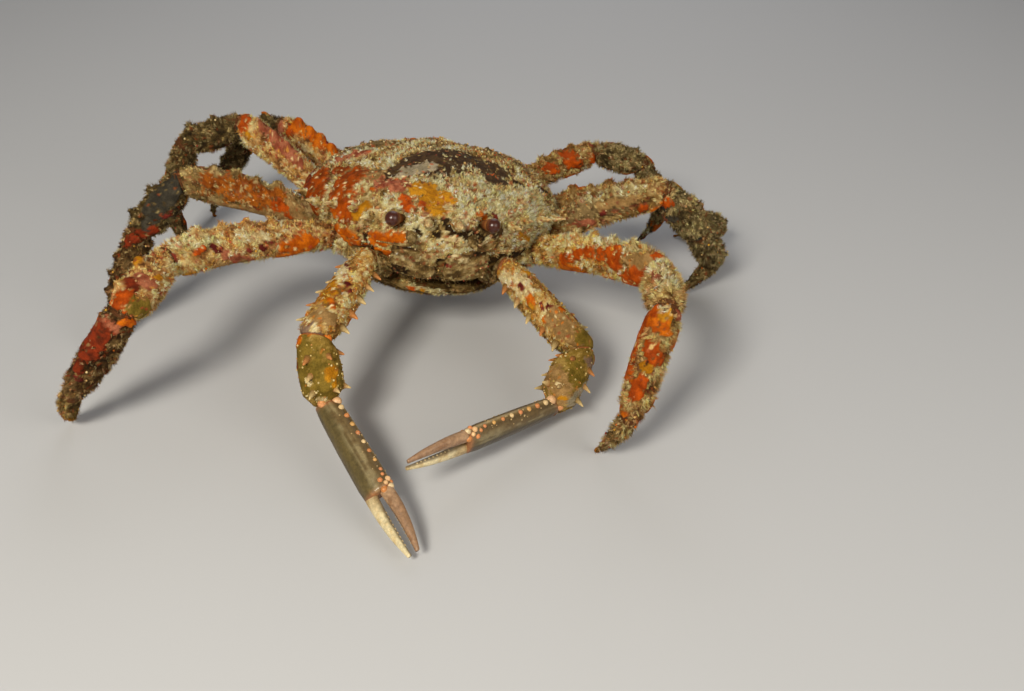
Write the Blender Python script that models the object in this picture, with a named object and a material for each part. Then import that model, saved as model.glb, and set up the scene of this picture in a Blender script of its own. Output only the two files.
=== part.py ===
# Channel clinging crab, an adult female at life size, standing still on its eight walking legs.
# Metres. +X is the crab's left side, the crab faces -Y and turns a little to its left, +Z is up.
# The floor is z = 0, and the eight leg tips rest on it.

import math
import random

import bmesh
import bpy
from mathutils import Matrix, Vector

GAP = 0.0003

# Where the middle of the body stands, and how it is turned, in degrees.
BODY_AT = (0.0009, 0.0502, 0.0690)
BODY_YAW = 8
BODY_NOSE_UP = 14
BODY_LEFT_DOWN = 7

# Half of the carapace's outline from above, front to back, in the body's own axes.
HALF_OUTLINE = (
    (0.000, -0.0720), (0.010, -0.0730), (0.024, -0.0660), (0.034, -0.0580), (0.047, -0.0450),
    (0.061, -0.0260), (0.071, -0.0020), (0.0735, 0.0200), (0.067, 0.0400), (0.053, 0.0560),
    (0.036, 0.0665), (0.018, 0.0720), (0.000, 0.0730),
)
OUTLINE_COUNT = 48
SHELL_MIDDLE = (0.0, 0.004)
DOME_HEIGHT = 0.0330
DOME_FULLNESS = 0.62
TOP_SCALES = (0.18, 0.36, 0.53, 0.68, 0.81, 0.90, 0.965)
SPLIT_HEIGHT = -0.010
STERNUM_HEIGHT = -0.030
# The shell's edge is level round the sides and back, and higher across the front.
FRONT_LIFT = 0.0065
FRONT_STARTS = -0.010
FRONT_SPAN = 0.040
# Share of the way in from the edge over which the relief fades out.
RELIEF_FADE = 0.15
# The wall below that edge: scale of the outline at the sides, scale at the front, height, lift.
CARAPACE_WALL = ((0.985, 0.990, -0.0045, 0.0040), (0.930, 0.955, SPLIT_HEIGHT))
THORAX_WALL = (
    (0.930, 0.955, SPLIT_HEIGHT - GAP), (0.82, 0.90, -0.0180), (0.66, 0.80, -0.0252),
    (0.46, 0.64, STERNUM_HEIGHT),
)
# Swellings and grooves of the shell's regions: middle x and y, reach, height.
REGIONS = (
    (0.000, -0.022, 0.024, 0.0030), (0.000, 0.026, 0.016, 0.0022), (0.041, 0.014, 0.026, 0.0026),
    (0.023, -0.004, 0.009, -0.0030), (0.000, 0.006, 0.008, -0.0020), (0.046, -0.036, 0.012, 0.0022),
    (0.000, -0.060, 0.010, -0.0028), (0.017, 0.020, 0.008, -0.0022), (0.034, -0.020, 0.008, -0.0020),
)

# Rostral horns, orbits and eyes, left side; the right side mirrors them.
HORN_ROOT = (0.0066, -0.0665, 0.0085)
HORN_TIP = (0.0085, -0.0810, 0.0110)
HORN_RADIUS = 0.0045
ORBIT_AT = (0.0246, -0.0662, 0.0094)
ORBIT_RADII = (0.0080, 0.0066, 0.0054)
EYE_AT = (0.0253, -0.0675, 0.0094)
EYE_RADIUS = 0.0038
EYE_STALK_ROOT = (0.0178, -0.0565, 0.0070)
EYE_STALK_RADIUS = 0.0024
# Spines at the orbit: place, direction, length, radius.
ORBIT_SPINES = (
    ((0.0150, -0.0670, 0.0100), (0.05, -0.92, 0.30), 0.0075, 0.0026),
    ((0.0365, -0.0565, 0.0065), (0.55, -0.82, 0.10), 0.0090, 0.0030),
)
# Margin spines: y of the place on the outline, length, radius. They point out from MARGIN_AIM.
MARGIN_SPINES = (
    (-0.0480, 0.0085, 0.0030), (-0.0360, 0.0095, 0.0032), (-0.0200, 0.0095, 0.0032),
    (-0.0010, 0.0085, 0.0030), (0.0190, 0.0075, 0.0028), (0.0370, 0.0060, 0.0026),
)
MARGIN_AIM = (0.0, 0.030, -0.020)
MARGIN_SPINE_RISE = 0.0015
TUBERCLE_COUNT = 64
TUBERCLE_SEED = 11
TUBERCLE_SPACING = 0.0098
TUBERCLE_RADIUS = 0.0016
TUBERCLE_EDGE_EXTRA = 0.0010
TUBERCLE_ZONE = (0.30, 0.92)
GOLDEN_SHARE = 0.381966
# No tubercle stands on the brow, forward of this y and within this x.
BROW = (-0.056, 0.036)

# Mouth frame and the pair of outer mouth plates.
MOUTH_PLATE_ROOT = (0.0134, -0.0685, -0.0045)
MOUTH_PLATE_FOOT = (0.0138, -0.0615, -0.0215)
MOUTH_PLATE_ACROSS = (0.97, 0.24, 0.0)
MOUTH_PLATE_HALF_WIDTH = 0.0124
MOUTH_PLATE_HALF_THICKNESS = 0.0026
# Fraction down the plate, share of its width, share of its thickness.
MOUTH_PLATE_PROFILE = (
    (0.0, 0.80, 0.70), (0.12, 0.95, 1.0), (0.50, 1.0, 1.15), (0.85, 0.92, 1.0), (1.0, 0.70, 0.70),
)

ANTENNA_ROOT = (0.0150, -0.0640, 0.0020)
ANTENNA_KNEE = (0.0158, -0.0800, 0.0010)
ANTENNA_TIP = (0.0330, -0.0900, 0.0040)
ANTENNA_BASE_RADIUS = 0.0030
ANTENNA_WHIP_RADIUS = 0.0011
ANTENNA_TIP_RADIUS = 0.0004
ANTENNA_BEND = 0.006
ANTENNA_STEPS = 4

ABDOMEN_HALF_WIDTH = 0.043
ABDOMEN_FRONT = -0.046
ABDOMEN_BACK = 0.050
ABDOMEN_SIDES = 24
# Scale and drop below the sternum of each ring of the apron.
ABDOMEN_RINGS = ((0.86, 0.0), (0.99, 0.0022), (1.0, 0.0050), (0.93, 0.0085), (0.70, 0.0112), (0.35, 0.0122))

# Limb roots in the body's axes, left side: socket in the thorax, then start of the long segment.
SOCKETS = {
    "leg1": ((0.036, -0.027, -0.0215), (0.056, -0.028, -0.0140)),
    "leg2": ((0.038, -0.005, -0.0210), (0.062, -0.004, -0.0120)),
    "leg3": ((0.035, 0.019, -0.0195), (0.058, 0.024, -0.0080)),
    "leg4": ((0.026, 0.041, -0.0180), (0.045, 0.057, -0.0060)),
    "claw": ((0.025, -0.041, -0.0225), (0.036, -0.050, -0.0180)),
}
# Lengths of merus, carpus, propodus and dactyl.
LENGTHS = {
    "leg1": (0.087, 0.042, 0.058, 0.036),
    "leg2": (0.076, 0.037, 0.051, 0.033),
    "leg3": (0.075, 0.036, 0.051, 0.034),
    "leg4": (0.064, 0.031, 0.043, 0.030),
    "claw": (0.061, 0.033, 0.057, 0.034),
}
THICKNESS = {"leg1": 1.0, "leg2": 0.97, "leg3": 0.93, "leg4": 0.86}
# Pose, in degrees: heading from +X towards +Y, and climb above level, of each segment in turn.
# A walking leg's last climb is worked out so that its tip comes down to the floor.
POSE = {
    "leg1_r": ((-147, 8), (-102, -5), (-176, -54), (132, None)),
    "leg2_r": ((-169, 22), (-161, -45), (-166, -65), (-110, None)),
    "leg3_r": ((147, 22), (-177, -20), (175, -70), (-20, None)),
    "leg4_r": ((144, 19), (160, -22), (175, -58), (150, None)),
    "leg1_l": ((-44, 17), (-92, 8), (-136, -72), (141, None)),
    "leg2_l": ((-8, 28), (12, -50), (58, -47), (200, None)),
    "leg3_l": ((8, 8), (0, -28), (60, -32), (150, None)),
    "leg4_l": ((10, 25), (5, -14), (30, -60), (180, None)),
    "claw_r": ((-108, -9), (-71, -61), (-56, -15), (-57, -14)),
    "claw_l": ((-42, -26), (-119, -30), (-139, 8), (-139, 8)),
}
# Which way the back edge of each hand faces.
HAND_UP = {"claw_r": (0.80, 0.30, 0.55), "claw_l": (-0.10, -0.25, 0.95)}

# Half width and half height of the walking legs' segments and joints, at thickness 1.
LEG_HALF = {"merus": (0.0092, 0.0100), "carpus": (0.0092, 0.0097), "propodus": (0.0086, 0.0092),
            "dactyl": (0.0062, 0.0066)}
LEG_JOINTS = ((0.0068, 0.0072), (0.0072, 0.0078), (0.0068, 0.0072), (0.0052, 0.0056), (0.0012, 0.0012))
COXA_HALF = 0.0080
LEG_SIDES = 8
# Claw arm: half width and half height, then its joints.
ARM_HALF = {"merus": (0.0094, 0.0100), "carpus": (0.0098, 0.0102), "palm": (0.0046, 0.0076)}
ARM_JOINTS = ((0.0066, 0.0070), (0.0068, 0.0074), (0.0042, 0.0060), (0.0044, 0.0074))
ARM_SIDES = 10
FINGER_HALF = (0.0028, 0.0034)
FINGER_TIP_HALF = (0.0009, 0.0011)
FINGER_SPREAD = 0.0038
FINGER_TIP_SPREAD = 0.0022
FINGER_SINK = 0.008
FINGER_BOW = 0.0012
FINGER_SIDES = 8
# Rows of thorns: angle round the segment, number, length; then where the row starts and its span.
MERUS_THORNS = ((0, 5, 0.0052), (180, 5, 0.0050), (95, 4, 0.0036))
MERUS_THORN_PLACE = (0.16, 0.665)
MERUS_THORN_RADIUS = 0.0021
CARPUS_THORNS = ((0, 3, 0.0050), (180, 3, 0.0042), (70, 2, 0.0030), (120, 2, 0.0030))
CARPUS_THORN_PLACE = (0.26, 0.50)
CARPUS_THORN_RADIUS = 0.0019
THORN_LEAN = 0.33
THORN_POINT = 0.0003
# Rows of blunt knobs on the walking legs' pieces: angle round the segment, number, height, radius.
LEG_KNOBS = {
    "merus": ((92, 4, 0.0036, 0.0042), (25, 2, 0.0020, 0.0030), (155, 2, 0.0020, 0.0030)),
    "carpus": ((92, 2, 0.0030, 0.0036),),
    "propodus": ((92, 3, 0.0022, 0.0030),),
}
LEG_KNOB_PLACE = (0.37, 0.45)
LEG_KNOB_LEAN = 0.15
LEG_KNOB_TOP = 0.42
LEG_KNOB_SEED = 23
LEG_KNOB_CHANGE = (0.80, 1.15)
PALM_BEADS = 8
PALM_BEAD_PLACE = (0.14, 0.70)
PALM_BEAD_RADIUS = 0.0013

# Fraction along the segment and thickness there, as a share of the segment's own.
MERUS_PROFILE = ((0.10, 0.84), (0.30, 0.96), (0.60, 1.0), (0.84, 1.04), (0.94, 1.0))
CARPUS_PROFILE = ((0.14, 0.92), (0.45, 1.06), (0.80, 1.04))
PROPODUS_PROFILE = ((0.10, 0.94), (0.45, 1.0), (0.82, 0.92))
DACTYL_PROFILE = ((0.12, 0.94), (0.45, 0.74), (0.75, 0.44))
COXA_PROFILE = ((0.35, 1.0), (0.80, 0.98))
PALM_PROFILE = ((0.12, 0.90), (0.50, 1.0), (0.88, 1.04))
FINGER_PROFILE = ((0.30, 0.92), (0.70, 0.66))
MERUS_BOW = 0.0030
DACTYL_BOW = 0.0025
# Share of a segment's length over which its sections turn to meet the joint's own plane.
MITRE_REACH = 0.3
SPLINE_STEPS = 24


def turned(heading, climb):
    """The direction with this heading and climb, in degrees."""
    h, c = math.radians(heading), math.radians(climb)
    return Vector((math.cos(h) * math.cos(c), math.sin(h) * math.cos(c), math.sin(c)))


def body_matrix():
    """Turns the body's own axes into the model's."""
    turn = (Matrix.Rotation(math.radians(BODY_YAW), 4, "Z")
            @ Matrix.Rotation(math.radians(-BODY_NOSE_UP), 4, "X")
            @ Matrix.Rotation(math.radians(BODY_LEFT_DOWN), 4, "Y"))
    return Matrix.Translation(BODY_AT) @ turn


def mirrored(point, side):
    """The point on the left or right half of the body."""
    return Vector((point[0] * side, point[1], point[2]))


def closed_spline(points, count):
    """Evenly spaced points on a smooth closed curve through the given ones."""
    fine = []
    total = len(points)
    for i in range(total):
        a, b, c, d = (points[(i + k) % total] for k in (-1, 0, 1, 2))
        for step in range(SPLINE_STEPS):
            t = step / SPLINE_STEPS
            fine.append(0.5 * (2 * b + (c - a) * t + (2 * a - 5 * b + 4 * c - d) * t ** 2
                               + (3 * b - a - 3 * c + d) * t ** 3))
    lengths = [0.0]
    for i in range(len(fine)):
        lengths.append(lengths[-1] + (fine[(i + 1) % len(fine)] - fine[i]).length)
    result = []
    place = 0
    for k in range(count):
        wanted = lengths[-1] * k / count
        while lengths[place + 1] < wanted:
            place += 1
        share = (wanted - lengths[place]) / (lengths[place + 1] - lengths[place])
        result.append(fine[place].lerp(fine[(place + 1) % len(fine)], share))
    return result


def material(name, colour, roughness):
    made = bpy.data.materials.new(name)
    made.use_nodes = True
    shader = made.node_tree.nodes["Principled BSDF"]
    shader.inputs["Base Color"].default_value = (*colour, 1.0)
    shader.inputs["Roughness"].default_value = roughness
    shader.inputs["Metallic"].default_value = 0.0
    return made


def new_object(name, bm, finish=None):
    """Makes an object from a bmesh, with its faces pointing out."""
    bmesh.ops.recalc_face_normals(bm, faces=bm.faces)
    mesh = bpy.data.meshes.new(name)
    bm.to_mesh(mesh)
    bm.free()
    made = bpy.data.objects.new(name, mesh)
    if finish:
        mesh.materials.append(finish)
    bpy.context.scene.collection.objects.link(made)
    return made


def move_to(made, collection):
    """Takes an object out of the collections that it is in and puts it into this one."""
    for home in list(made.users_collection):
        home.objects.unlink(made)
    collection.objects.link(made)


def loft(name, rings, finish=None, point_at_end=None):
    """A closed solid through rings of equal count. The last ring may close on a point."""
    bm = bmesh.new()
    rows = [[bm.verts.new(p) for p in ring] for ring in rings]
    count = len(rows[0])
    for low, high in zip(rows[:-1], rows[1:]):
        for i in range(count):
            j = (i + 1) % count
            bm.faces.new((low[i], low[j], high[j], high[i]))
    bm.faces.new(list(reversed(rows[0])))
    if point_at_end is None:
        bm.faces.new(rows[-1])
    else:
        apex = bm.verts.new(point_at_end)
        for i in range(count):
            bm.faces.new((rows[-1][i], rows[-1][(i + 1) % count], apex))
    return new_object(name, bm, finish)


def section(centre, normal, across, half_width, half_height, sides):
    """An elliptical ring square to the normal, with its width along across."""
    wide = (across - normal * across.dot(normal)).normalized()
    tall = normal.cross(wide).normalized()
    ring = []
    for i in range(sides):
        angle = 2 * math.pi * (i + 0.5) / sides
        ring.append(centre + wide * half_width * math.cos(angle) + tall * half_height * math.sin(angle))
    return ring


class Segment:
    """One limb piece: elliptical sections along its middle line, mitred to its neighbours."""

    def __init__(self, start, end, start_normal, end_normal, across, half, start_half, end_half,
                 profile, sides, bow=0.0):
        self.start, self.end = start, end
        self.axis = (end - start).normalized()
        self.normals = (start_normal, end_normal)
        self.across = (across - self.axis * across.dot(self.axis)).normalized()
        self.tall = self.axis.cross(self.across).normalized()
        self.half, self.ends = half, (start_half, end_half)
        self.profile, self.sides, self.bow = profile, sides, bow

    def middle(self, t):
        return self.start.lerp(self.end, t) + self.tall * self.bow * 4 * t * (1 - t)

    def normal(self, t):
        """The section's tilt, which runs from the start joint's to the end joint's."""
        first, last = (max(0.0, 1 - d / MITRE_REACH) for d in (t, 1 - t))
        return (self.axis + (self.normals[0] - self.axis) * first
                + (self.normals[1] - self.axis) * last).normalized()

    def size(self, t):
        """Half width and half height at a fraction of the length."""
        stops = ([(0.0, *self.ends[0])]
                 + [(f, self.half[0] * k, self.half[1] * k) for f, k in self.profile]
                 + [(1.0, *self.ends[1])])
        for low, high in zip(stops[:-1], stops[1:]):
            if t <= high[0]:
                share = (t - low[0]) / (high[0] - low[0])
                return tuple(a + (b - a) * share for a, b in zip(low[1:], high[1:]))
        return self.ends[1]

    def rings(self, spare=0.0, reach=-GAP / 2):
        """All sections, grown by spare, with both ends moved out by reach."""
        result = []
        for t in [0.0] + [f for f, _ in self.profile] + [1.0]:
            normal = self.normal(t)
            wide, tall = self.size(t)
            centre = self.middle(t)
            if t == 0.0:
                centre = centre - normal * reach
            if t == 1.0:
                centre = centre + normal * reach
            result.append(section(centre, normal, self.across, wide + spare, tall + spare, self.sides))
        return result

    def surface(self, t, angle):
        """A point on the skin, and the outward direction there. Angle 90 is the upper edge."""
        a = math.radians(angle)
        wide, tall = self.size(t)
        out = (self.across * math.cos(a) / wide + self.tall * math.sin(a) / tall).normalized()
        return self.middle(t) + self.across * wide * math.cos(a) + self.tall * tall * math.sin(a), out

    def build(self, name, finish=None):
        return loft(name, self.rings(), finish)


def spine(root, direction, length, radius, sink=0.45, sides=5, point=THORN_POINT):
    """A tapered thorn with its root sunk in by a share of its length."""
    direction = direction.normalized()
    full = length * (1 + sink)
    bm = bmesh.new()
    bmesh.ops.create_cone(bm, cap_ends=True, segments=sides, radius1=radius * (1 + 0.3 * sink),
                          radius2=point, depth=full)
    turn = direction.to_track_quat("Z", "Y").to_matrix().to_4x4()
    place = Matrix.Translation(root + direction * (full / 2 - length * sink)) @ turn
    bmesh.ops.transform(bm, matrix=place, verts=bm.verts)
    return new_object("thorn", bm)


def bead(centre, outward, radius, height=0.7):
    """A low rounded tubercle."""
    bm = bmesh.new()
    bmesh.ops.create_icosphere(bm, subdivisions=1, radius=radius)
    turn = outward.normalized().to_track_quat("Z", "Y").to_matrix().to_4x4()
    flat = Matrix.Diagonal((1.0, 1.0, height, 1.0))
    bmesh.ops.transform(bm, matrix=Matrix.Translation(centre) @ turn @ flat, verts=bm.verts)
    return new_object("bead", bm)


def settle(target):
    """Replaces an object's mesh by what its modifiers make of it."""
    bpy.context.view_layer.update()
    graph = bpy.context.evaluated_depsgraph_get()
    mesh = bpy.data.meshes.new_from_object(target.evaluated_get(graph))
    target.modifiers.clear()
    target.data = mesh


def keep_largest(target):
    """Keeps only the largest closed surface of a mesh."""
    bm = bmesh.new()
    bm.from_mesh(target.data)
    left = set(bm.verts)
    pieces = []
    while left:
        stack = [left.pop()]
        piece = set(stack)
        while stack:
            for edge in stack.pop().link_edges:
                for vert in edge.verts:
                    if vert in left:
                        left.discard(vert)
                        piece.add(vert)
                        stack.append(vert)
        pieces.append(piece)
    largest = max(pieces, key=len)
    bmesh.ops.delete(bm, geom=[v for v in bm.verts if v not in largest], context="VERTS")
    bm.to_mesh(target.data)
    bm.free()


def combine(target, others, operation):
    """One Boolean of a collection of closed meshes on the target, applied, with the meshes removed."""
    if not others:
        return
    bag = bpy.data.collections.new("bag")
    cutters.children.link(bag)
    for other in others:
        move_to(other, bag)
        other.hide_render = True
        other.display_type = "WIRE"
    boolean = target.modifiers.new("boolean", "BOOLEAN")
    boolean.operation = operation
    boolean.operand_type = "COLLECTION"
    boolean.collection = bag
    boolean.solver = "EXACT"
    settle(target)
    for other in others:
        bpy.data.objects.remove(other)
    bpy.data.collections.remove(bag)
    keep_largest(target)


def fuse(target, others):
    combine(target, others, "UNION")


def carve(target, others):
    combine(target, others, "DIFFERENCE")


def relief(x, y):
    """How far the shell's regions rise or sink at a point of the plan."""
    total = 0.0
    for mx, my, reach, height in REGIONS:
        for side in ((1,) if mx == 0.0 else (1, -1)):
            d2 = (x - side * mx) ** 2 + (y - my) ** 2
            total += height * math.exp(-d2 / reach ** 2)
    return total


def outline():
    """The carapace's outline from above, front middle first."""
    half = [Vector((x, y, 0.0)) for x, y in HALF_OUTLINE]
    whole = half + [Vector((-p.x, p.y, 0.0)) for p in reversed(half[1:-1])]
    return closed_spline(whole, OUTLINE_COUNT)


def frontness(p):
    """0 along the sides and back, 1 across the front."""
    share = min(1.0, max(0.0, (FRONT_STARTS - p.y) / FRONT_SPAN))
    return share * share * (3 - 2 * share)


def shell_ring(edge, scale_side, scale_front, height, lift=0.0):
    """The outline drawn in by a scale that may differ at the front, at one height."""
    middle = Vector((*SHELL_MIDDLE, 0.0))
    ring = []
    for p in edge:
        front = frontness(p)
        scale = scale_side + (scale_front - scale_side) * front
        ring.append(middle + (p - middle) * scale + Vector((0, 0, height + lift * front)))
    return ring


def top_point(p, scale):
    """A point on the dome, at a share of the way out to an outline point."""
    middle = Vector((*SHELL_MIDDLE, 0.0))
    spot = middle + (p - middle) * scale
    rise = DOME_HEIGHT * (1 - scale ** 2) ** DOME_FULLNESS + FRONT_LIFT * frontness(p) * scale ** 3
    fade = min(1.0, (1 - scale) / RELIEF_FADE)
    spot.z = rise + relief(spot.x, spot.y) * fade
    return spot


def carapace_tubercles(edge):
    """Low tubercles spread over the shell, larger towards its edge, few on the smooth top."""
    draw = random.Random(TUBERCLE_SEED)
    inner, outer = TUBERCLE_ZONE
    made = []
    placed = []
    k = 0
    while len(placed) < TUBERCLE_COUNT:
        k += 1
        rim = edge[int((k * GOLDEN_SHARE) % 1.0 * OUTLINE_COUNT)]
        scale = inner + (outer - inner) * math.sqrt(draw.random())
        spot = top_point(rim, scale)
        if spot.y < BROW[0] and abs(spot.x) < BROW[1]:
            continue
        if any((spot - other).length < TUBERCLE_SPACING for other in placed):
            continue
        placed.append(spot)
        slope = (spot - top_point(rim, scale - 0.05)).normalized()
        level = Vector((-slope.y, slope.x, 0.0)).normalized()
        outward = slope.cross(level)
        if outward.z < 0:
            outward.negate()
        made.append(bead(spot, outward, TUBERCLE_RADIUS + TUBERCLE_EDGE_EXTRA * scale, 0.85))
    return made


def make_carapace(finish):
    edge = outline()
    rings = [shell_ring(edge, *wall) for wall in reversed(CARAPACE_WALL)]
    rings.append(shell_ring(edge, 1.0, 1.0, 0.0, FRONT_LIFT))
    rings += [[top_point(p, s) for p in edge] for s in reversed(TOP_SCALES)]
    apex = Vector((*SHELL_MIDDLE, DOME_HEIGHT + relief(*SHELL_MIDDLE)))
    shell = loft("carapace", rings, finish, point_at_end=apex)
    thorns = carapace_tubercles(edge)
    for side in (1, -1):
        root, tip = mirrored(HORN_ROOT, side), mirrored(HORN_TIP, side)
        thorns.append(spine(root, tip - root, (tip - root).length, HORN_RADIUS, 0.2, 7))
        for place, way, length, radius in ORBIT_SPINES:
            thorns.append(spine(mirrored(place, side), mirrored(way, side), length, radius, 0.5))
        for y, length, radius in MARGIN_SPINES:
            spot = min((p for p in edge if p.x * side > 0), key=lambda p: abs(p.y - y))
            way = spot - Vector(MARGIN_AIM)
            rise = Vector((0, 0, MARGIN_SPINE_RISE + FRONT_LIFT * frontness(spot)))
            thorns.append(spine(spot + rise, way, length, radius))
    fuse(shell, thorns)
    return shell


def make_thorax(finish):
    edge = outline()
    rings = [shell_ring(edge, *wall) for wall in reversed(THORAX_WALL)]
    return loft("thorax", rings, finish)


def make_abdomen(finish):
    """The female's broad apron, folded flat under the thorax."""
    length = ABDOMEN_BACK - ABDOMEN_FRONT
    middle_y = (ABDOMEN_BACK + ABDOMEN_FRONT) / 2
    rings = []
    for scale, drop in ABDOMEN_RINGS:
        ring = []
        for i in range(ABDOMEN_SIDES):
            a = 2 * math.pi * i / ABDOMEN_SIDES
            x = ABDOMEN_HALF_WIDTH * scale * math.cos(a)
            y = middle_y + length / 2 * scale * math.sin(a)
            ring.append(Vector((x, y, STERNUM_HEIGHT - GAP - drop)))
        rings.append(ring)
    return loft("abdomen", rings, finish)


def ball(centre, radii, segments=12, rows=8):
    bm = bmesh.new()
    bmesh.ops.create_uvsphere(bm, u_segments=segments, v_segments=rows, radius=1.0)
    place = Matrix.Translation(centre) @ Matrix.Diagonal((*radii, 1.0))
    bmesh.ops.transform(bm, matrix=place, verts=bm.verts)
    return new_object("ball", bm)


def tube(name, points, radii, sides, finish=None, spare=0.0):
    """A closed tube through a few points."""
    rings = []
    for i, (point, radius) in enumerate(zip(points, radii)):
        before, after = points[max(i - 1, 0)], points[min(i + 1, len(points) - 1)]
        way = (after - before).normalized()
        centre = point
        if i == 0:
            centre = point - way * spare
        if i == len(points) - 1:
            centre = point + way * spare
        rings.append(section(centre, way, Vector((0, 0, 1)), radius + spare, radius + spare, sides))
    return loft(name, rings, finish)


def eye_stalk(side, spare=0.0):
    root, eye = mirrored(EYE_STALK_ROOT, side), mirrored(EYE_AT, side)
    return tube("stalk", [root, eye], [EYE_STALK_RADIUS] * 2, 8, None, spare)


def make_eye(side, name, finish):
    eye = ball(mirrored(EYE_AT, side), (EYE_RADIUS,) * 3)
    eye.name = name
    eye.data.materials.append(finish)
    fuse(eye, [eye_stalk(side)])
    return eye


def antenna_line(side):
    """Middle line and radius of the antenna: stout base article, then a whip that curves out."""
    root, knee, tip = (mirrored(p, side) for p in (ANTENNA_ROOT, ANTENNA_KNEE, ANTENNA_TIP))
    points = [root, root.lerp(knee, 0.5), root.lerp(knee, 0.82)]
    radii = [ANTENNA_BASE_RADIUS, ANTENNA_BASE_RADIUS, ANTENNA_BASE_RADIUS * 0.8]
    bend = knee + (knee - root).normalized() * ANTENNA_BEND
    for k in range(ANTENNA_STEPS + 1):
        t = k / ANTENNA_STEPS
        points.append(knee * (1 - t) ** 2 + bend * 2 * t * (1 - t) + tip * t ** 2)
        radii.append(ANTENNA_WHIP_RADIUS + (ANTENNA_TIP_RADIUS - ANTENNA_WHIP_RADIUS) * t)
    return points, radii


def make_antenna(side, name, finish):
    points, radii = antenna_line(side)
    return tube(name, points, radii, 6, finish)


def mouth_plate(side, name, finish, spare=0.0):
    """One of the two outer mouth plates that close the mouth frame."""
    top, foot = mirrored(MOUTH_PLATE_ROOT, side), mirrored(MOUTH_PLATE_FOOT, side)
    way = (foot - top).normalized()
    across = Vector((MOUTH_PLATE_ACROSS[0], MOUTH_PLATE_ACROSS[1] * side, 0.0)).normalized()
    rings = []
    for t, wide, thick in MOUTH_PLATE_PROFILE:
        centre = top.lerp(foot, t)
        if t == 0.0:
            centre = centre - way * spare
        if t == 1.0:
            centre = centre + way * spare
        rings.append(section(centre, way, across, MOUTH_PLATE_HALF_WIDTH * wide + spare,
                             MOUTH_PLATE_HALF_THICKNESS * thick + spare, 12))
    return loft(name, rings, finish)


def joints_of(limb, side_name):
    """The limb's joints in the model's axes, socket first, and each segment's direction."""
    side = 1 if side_name == "l" else -1
    inner, root = (BODY @ mirrored(p, side) for p in SOCKETS[limb])
    points = [inner, root]
    for (heading, climb), length in zip(POSE[f"{limb}_{side_name}"], LENGTHS[limb]):
        if climb is None:
            climb = -math.degrees(math.asin(points[-1].z / length))
        points.append(points[-1] + turned(heading, climb) * length)
    ways = [(b - a).normalized() for a, b in zip(points[:-1], points[1:])]
    return points, ways


def leg_segments(limb, side_name):
    """The five segments of a walking leg, from the socket to the tip."""
    points, ways = joints_of(limb, side_name)
    k = THICKNESS[limb]
    joints = [(w * k, h * k) for w, h in LEG_JOINTS[:-1]] + [LEG_JOINTS[-1]]
    normals = [ways[0]] + [(a + b).normalized() for a, b in zip(ways[:-1], ways[1:])]
    normals.append(Vector((0, 0, -1)))
    across = ways[1].cross(Vector((0, 0, 1))).normalized()
    kinds = ("coxa", "merus", "carpus", "propodus", "dactyl")
    profiles = (COXA_PROFILE, MERUS_PROFILE, CARPUS_PROFILE, PROPODUS_PROFILE, DACTYL_PROFILE)
    coxa = (COXA_HALF * k, COXA_HALF * k)
    halves = [coxa] + [tuple(v * k for v in LEG_HALF[kind]) for kind in kinds[1:]]
    ends = [(coxa, joints[0])] + list(zip(joints[:-1], joints[1:]))
    bows = (0.0, MERUS_BOW, 0.0, 0.0, DACTYL_BOW)
    made = {}
    for i, kind in enumerate(kinds):
        segment = Segment(points[i], points[i + 1], normals[i], normals[i + 1], across, halves[i],
                          *ends[i], profiles[i], LEG_SIDES, bows[i])
        if segment.tall.z < 0 and kind != "dactyl":
            segment.across.negate()
            segment.tall.negate()
        across = segment.across
        made[kind] = segment
    return made


def leg_knobs(segment, rows, draw):
    """Blunt knobs in rows along a leg piece, of uneven size."""
    start, span = LEG_KNOB_PLACE
    made = []
    for angle, count, height, radius in rows:
        for k in range(count):
            change = draw.uniform(*LEG_KNOB_CHANGE)
            spot, out = segment.surface(start + span * k / (count - 1), angle)
            made.append(spine(spot, out + segment.axis * LEG_KNOB_LEAN, height * change, radius * change,
                              sink=0.6, point=radius * change * LEG_KNOB_TOP))
    return made


def make_leg(limb, side_name, finish):
    segments = leg_segments(limb, side_name)
    draw = random.Random(f"{LEG_KNOB_SEED} {limb} {side_name}")
    for kind, segment in segments.items():
        made = segment.build(f"{limb}_{side_name}_{kind}", finish)
        fuse(made, leg_knobs(segment, LEG_KNOBS.get(kind, ()), draw))
        if kind == "dactyl":
            for vert in made.data.vertices[-LEG_SIDES:]:
                vert.co.z = 0.0
        move_to(made, parts)
    return segments


def arm_segments(side_name):
    """The four segments of a claw arm up to the hand, and where its fingers' tips meet."""
    points, ways = joints_of("claw", side_name)
    hand_up = Vector(HAND_UP[f"claw_{side_name}"])
    normals = [ways[0]] + [(a + b).normalized() for a, b in zip(ways[:3], ways[1:4])] + [ways[3]]
    hand_across = hand_up.cross(ways[3]).normalized()
    across = ways[1].cross(Vector((0, 0, 1))).normalized()
    kinds = ("coxa", "merus", "carpus", "palm")
    profiles = (COXA_PROFILE, MERUS_PROFILE, CARPUS_PROFILE, PALM_PROFILE)
    coxa = (COXA_HALF, COXA_HALF)
    halves = (coxa, ARM_HALF["merus"], ARM_HALF["carpus"], ARM_HALF["palm"])
    ends = [(coxa, ARM_JOINTS[0])] + list(zip(ARM_JOINTS[:-1], ARM_JOINTS[1:]))
    made = {}
    for i, kind in enumerate(kinds):
        side_way = hand_across if kind in ("carpus", "palm") else across
        made[kind] = Segment(points[i], points[i + 1], normals[i], normals[i + 1], side_way, halves[i],
                             *ends[i], profiles[i], ARM_SIDES)
    return made, points[-1]


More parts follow.
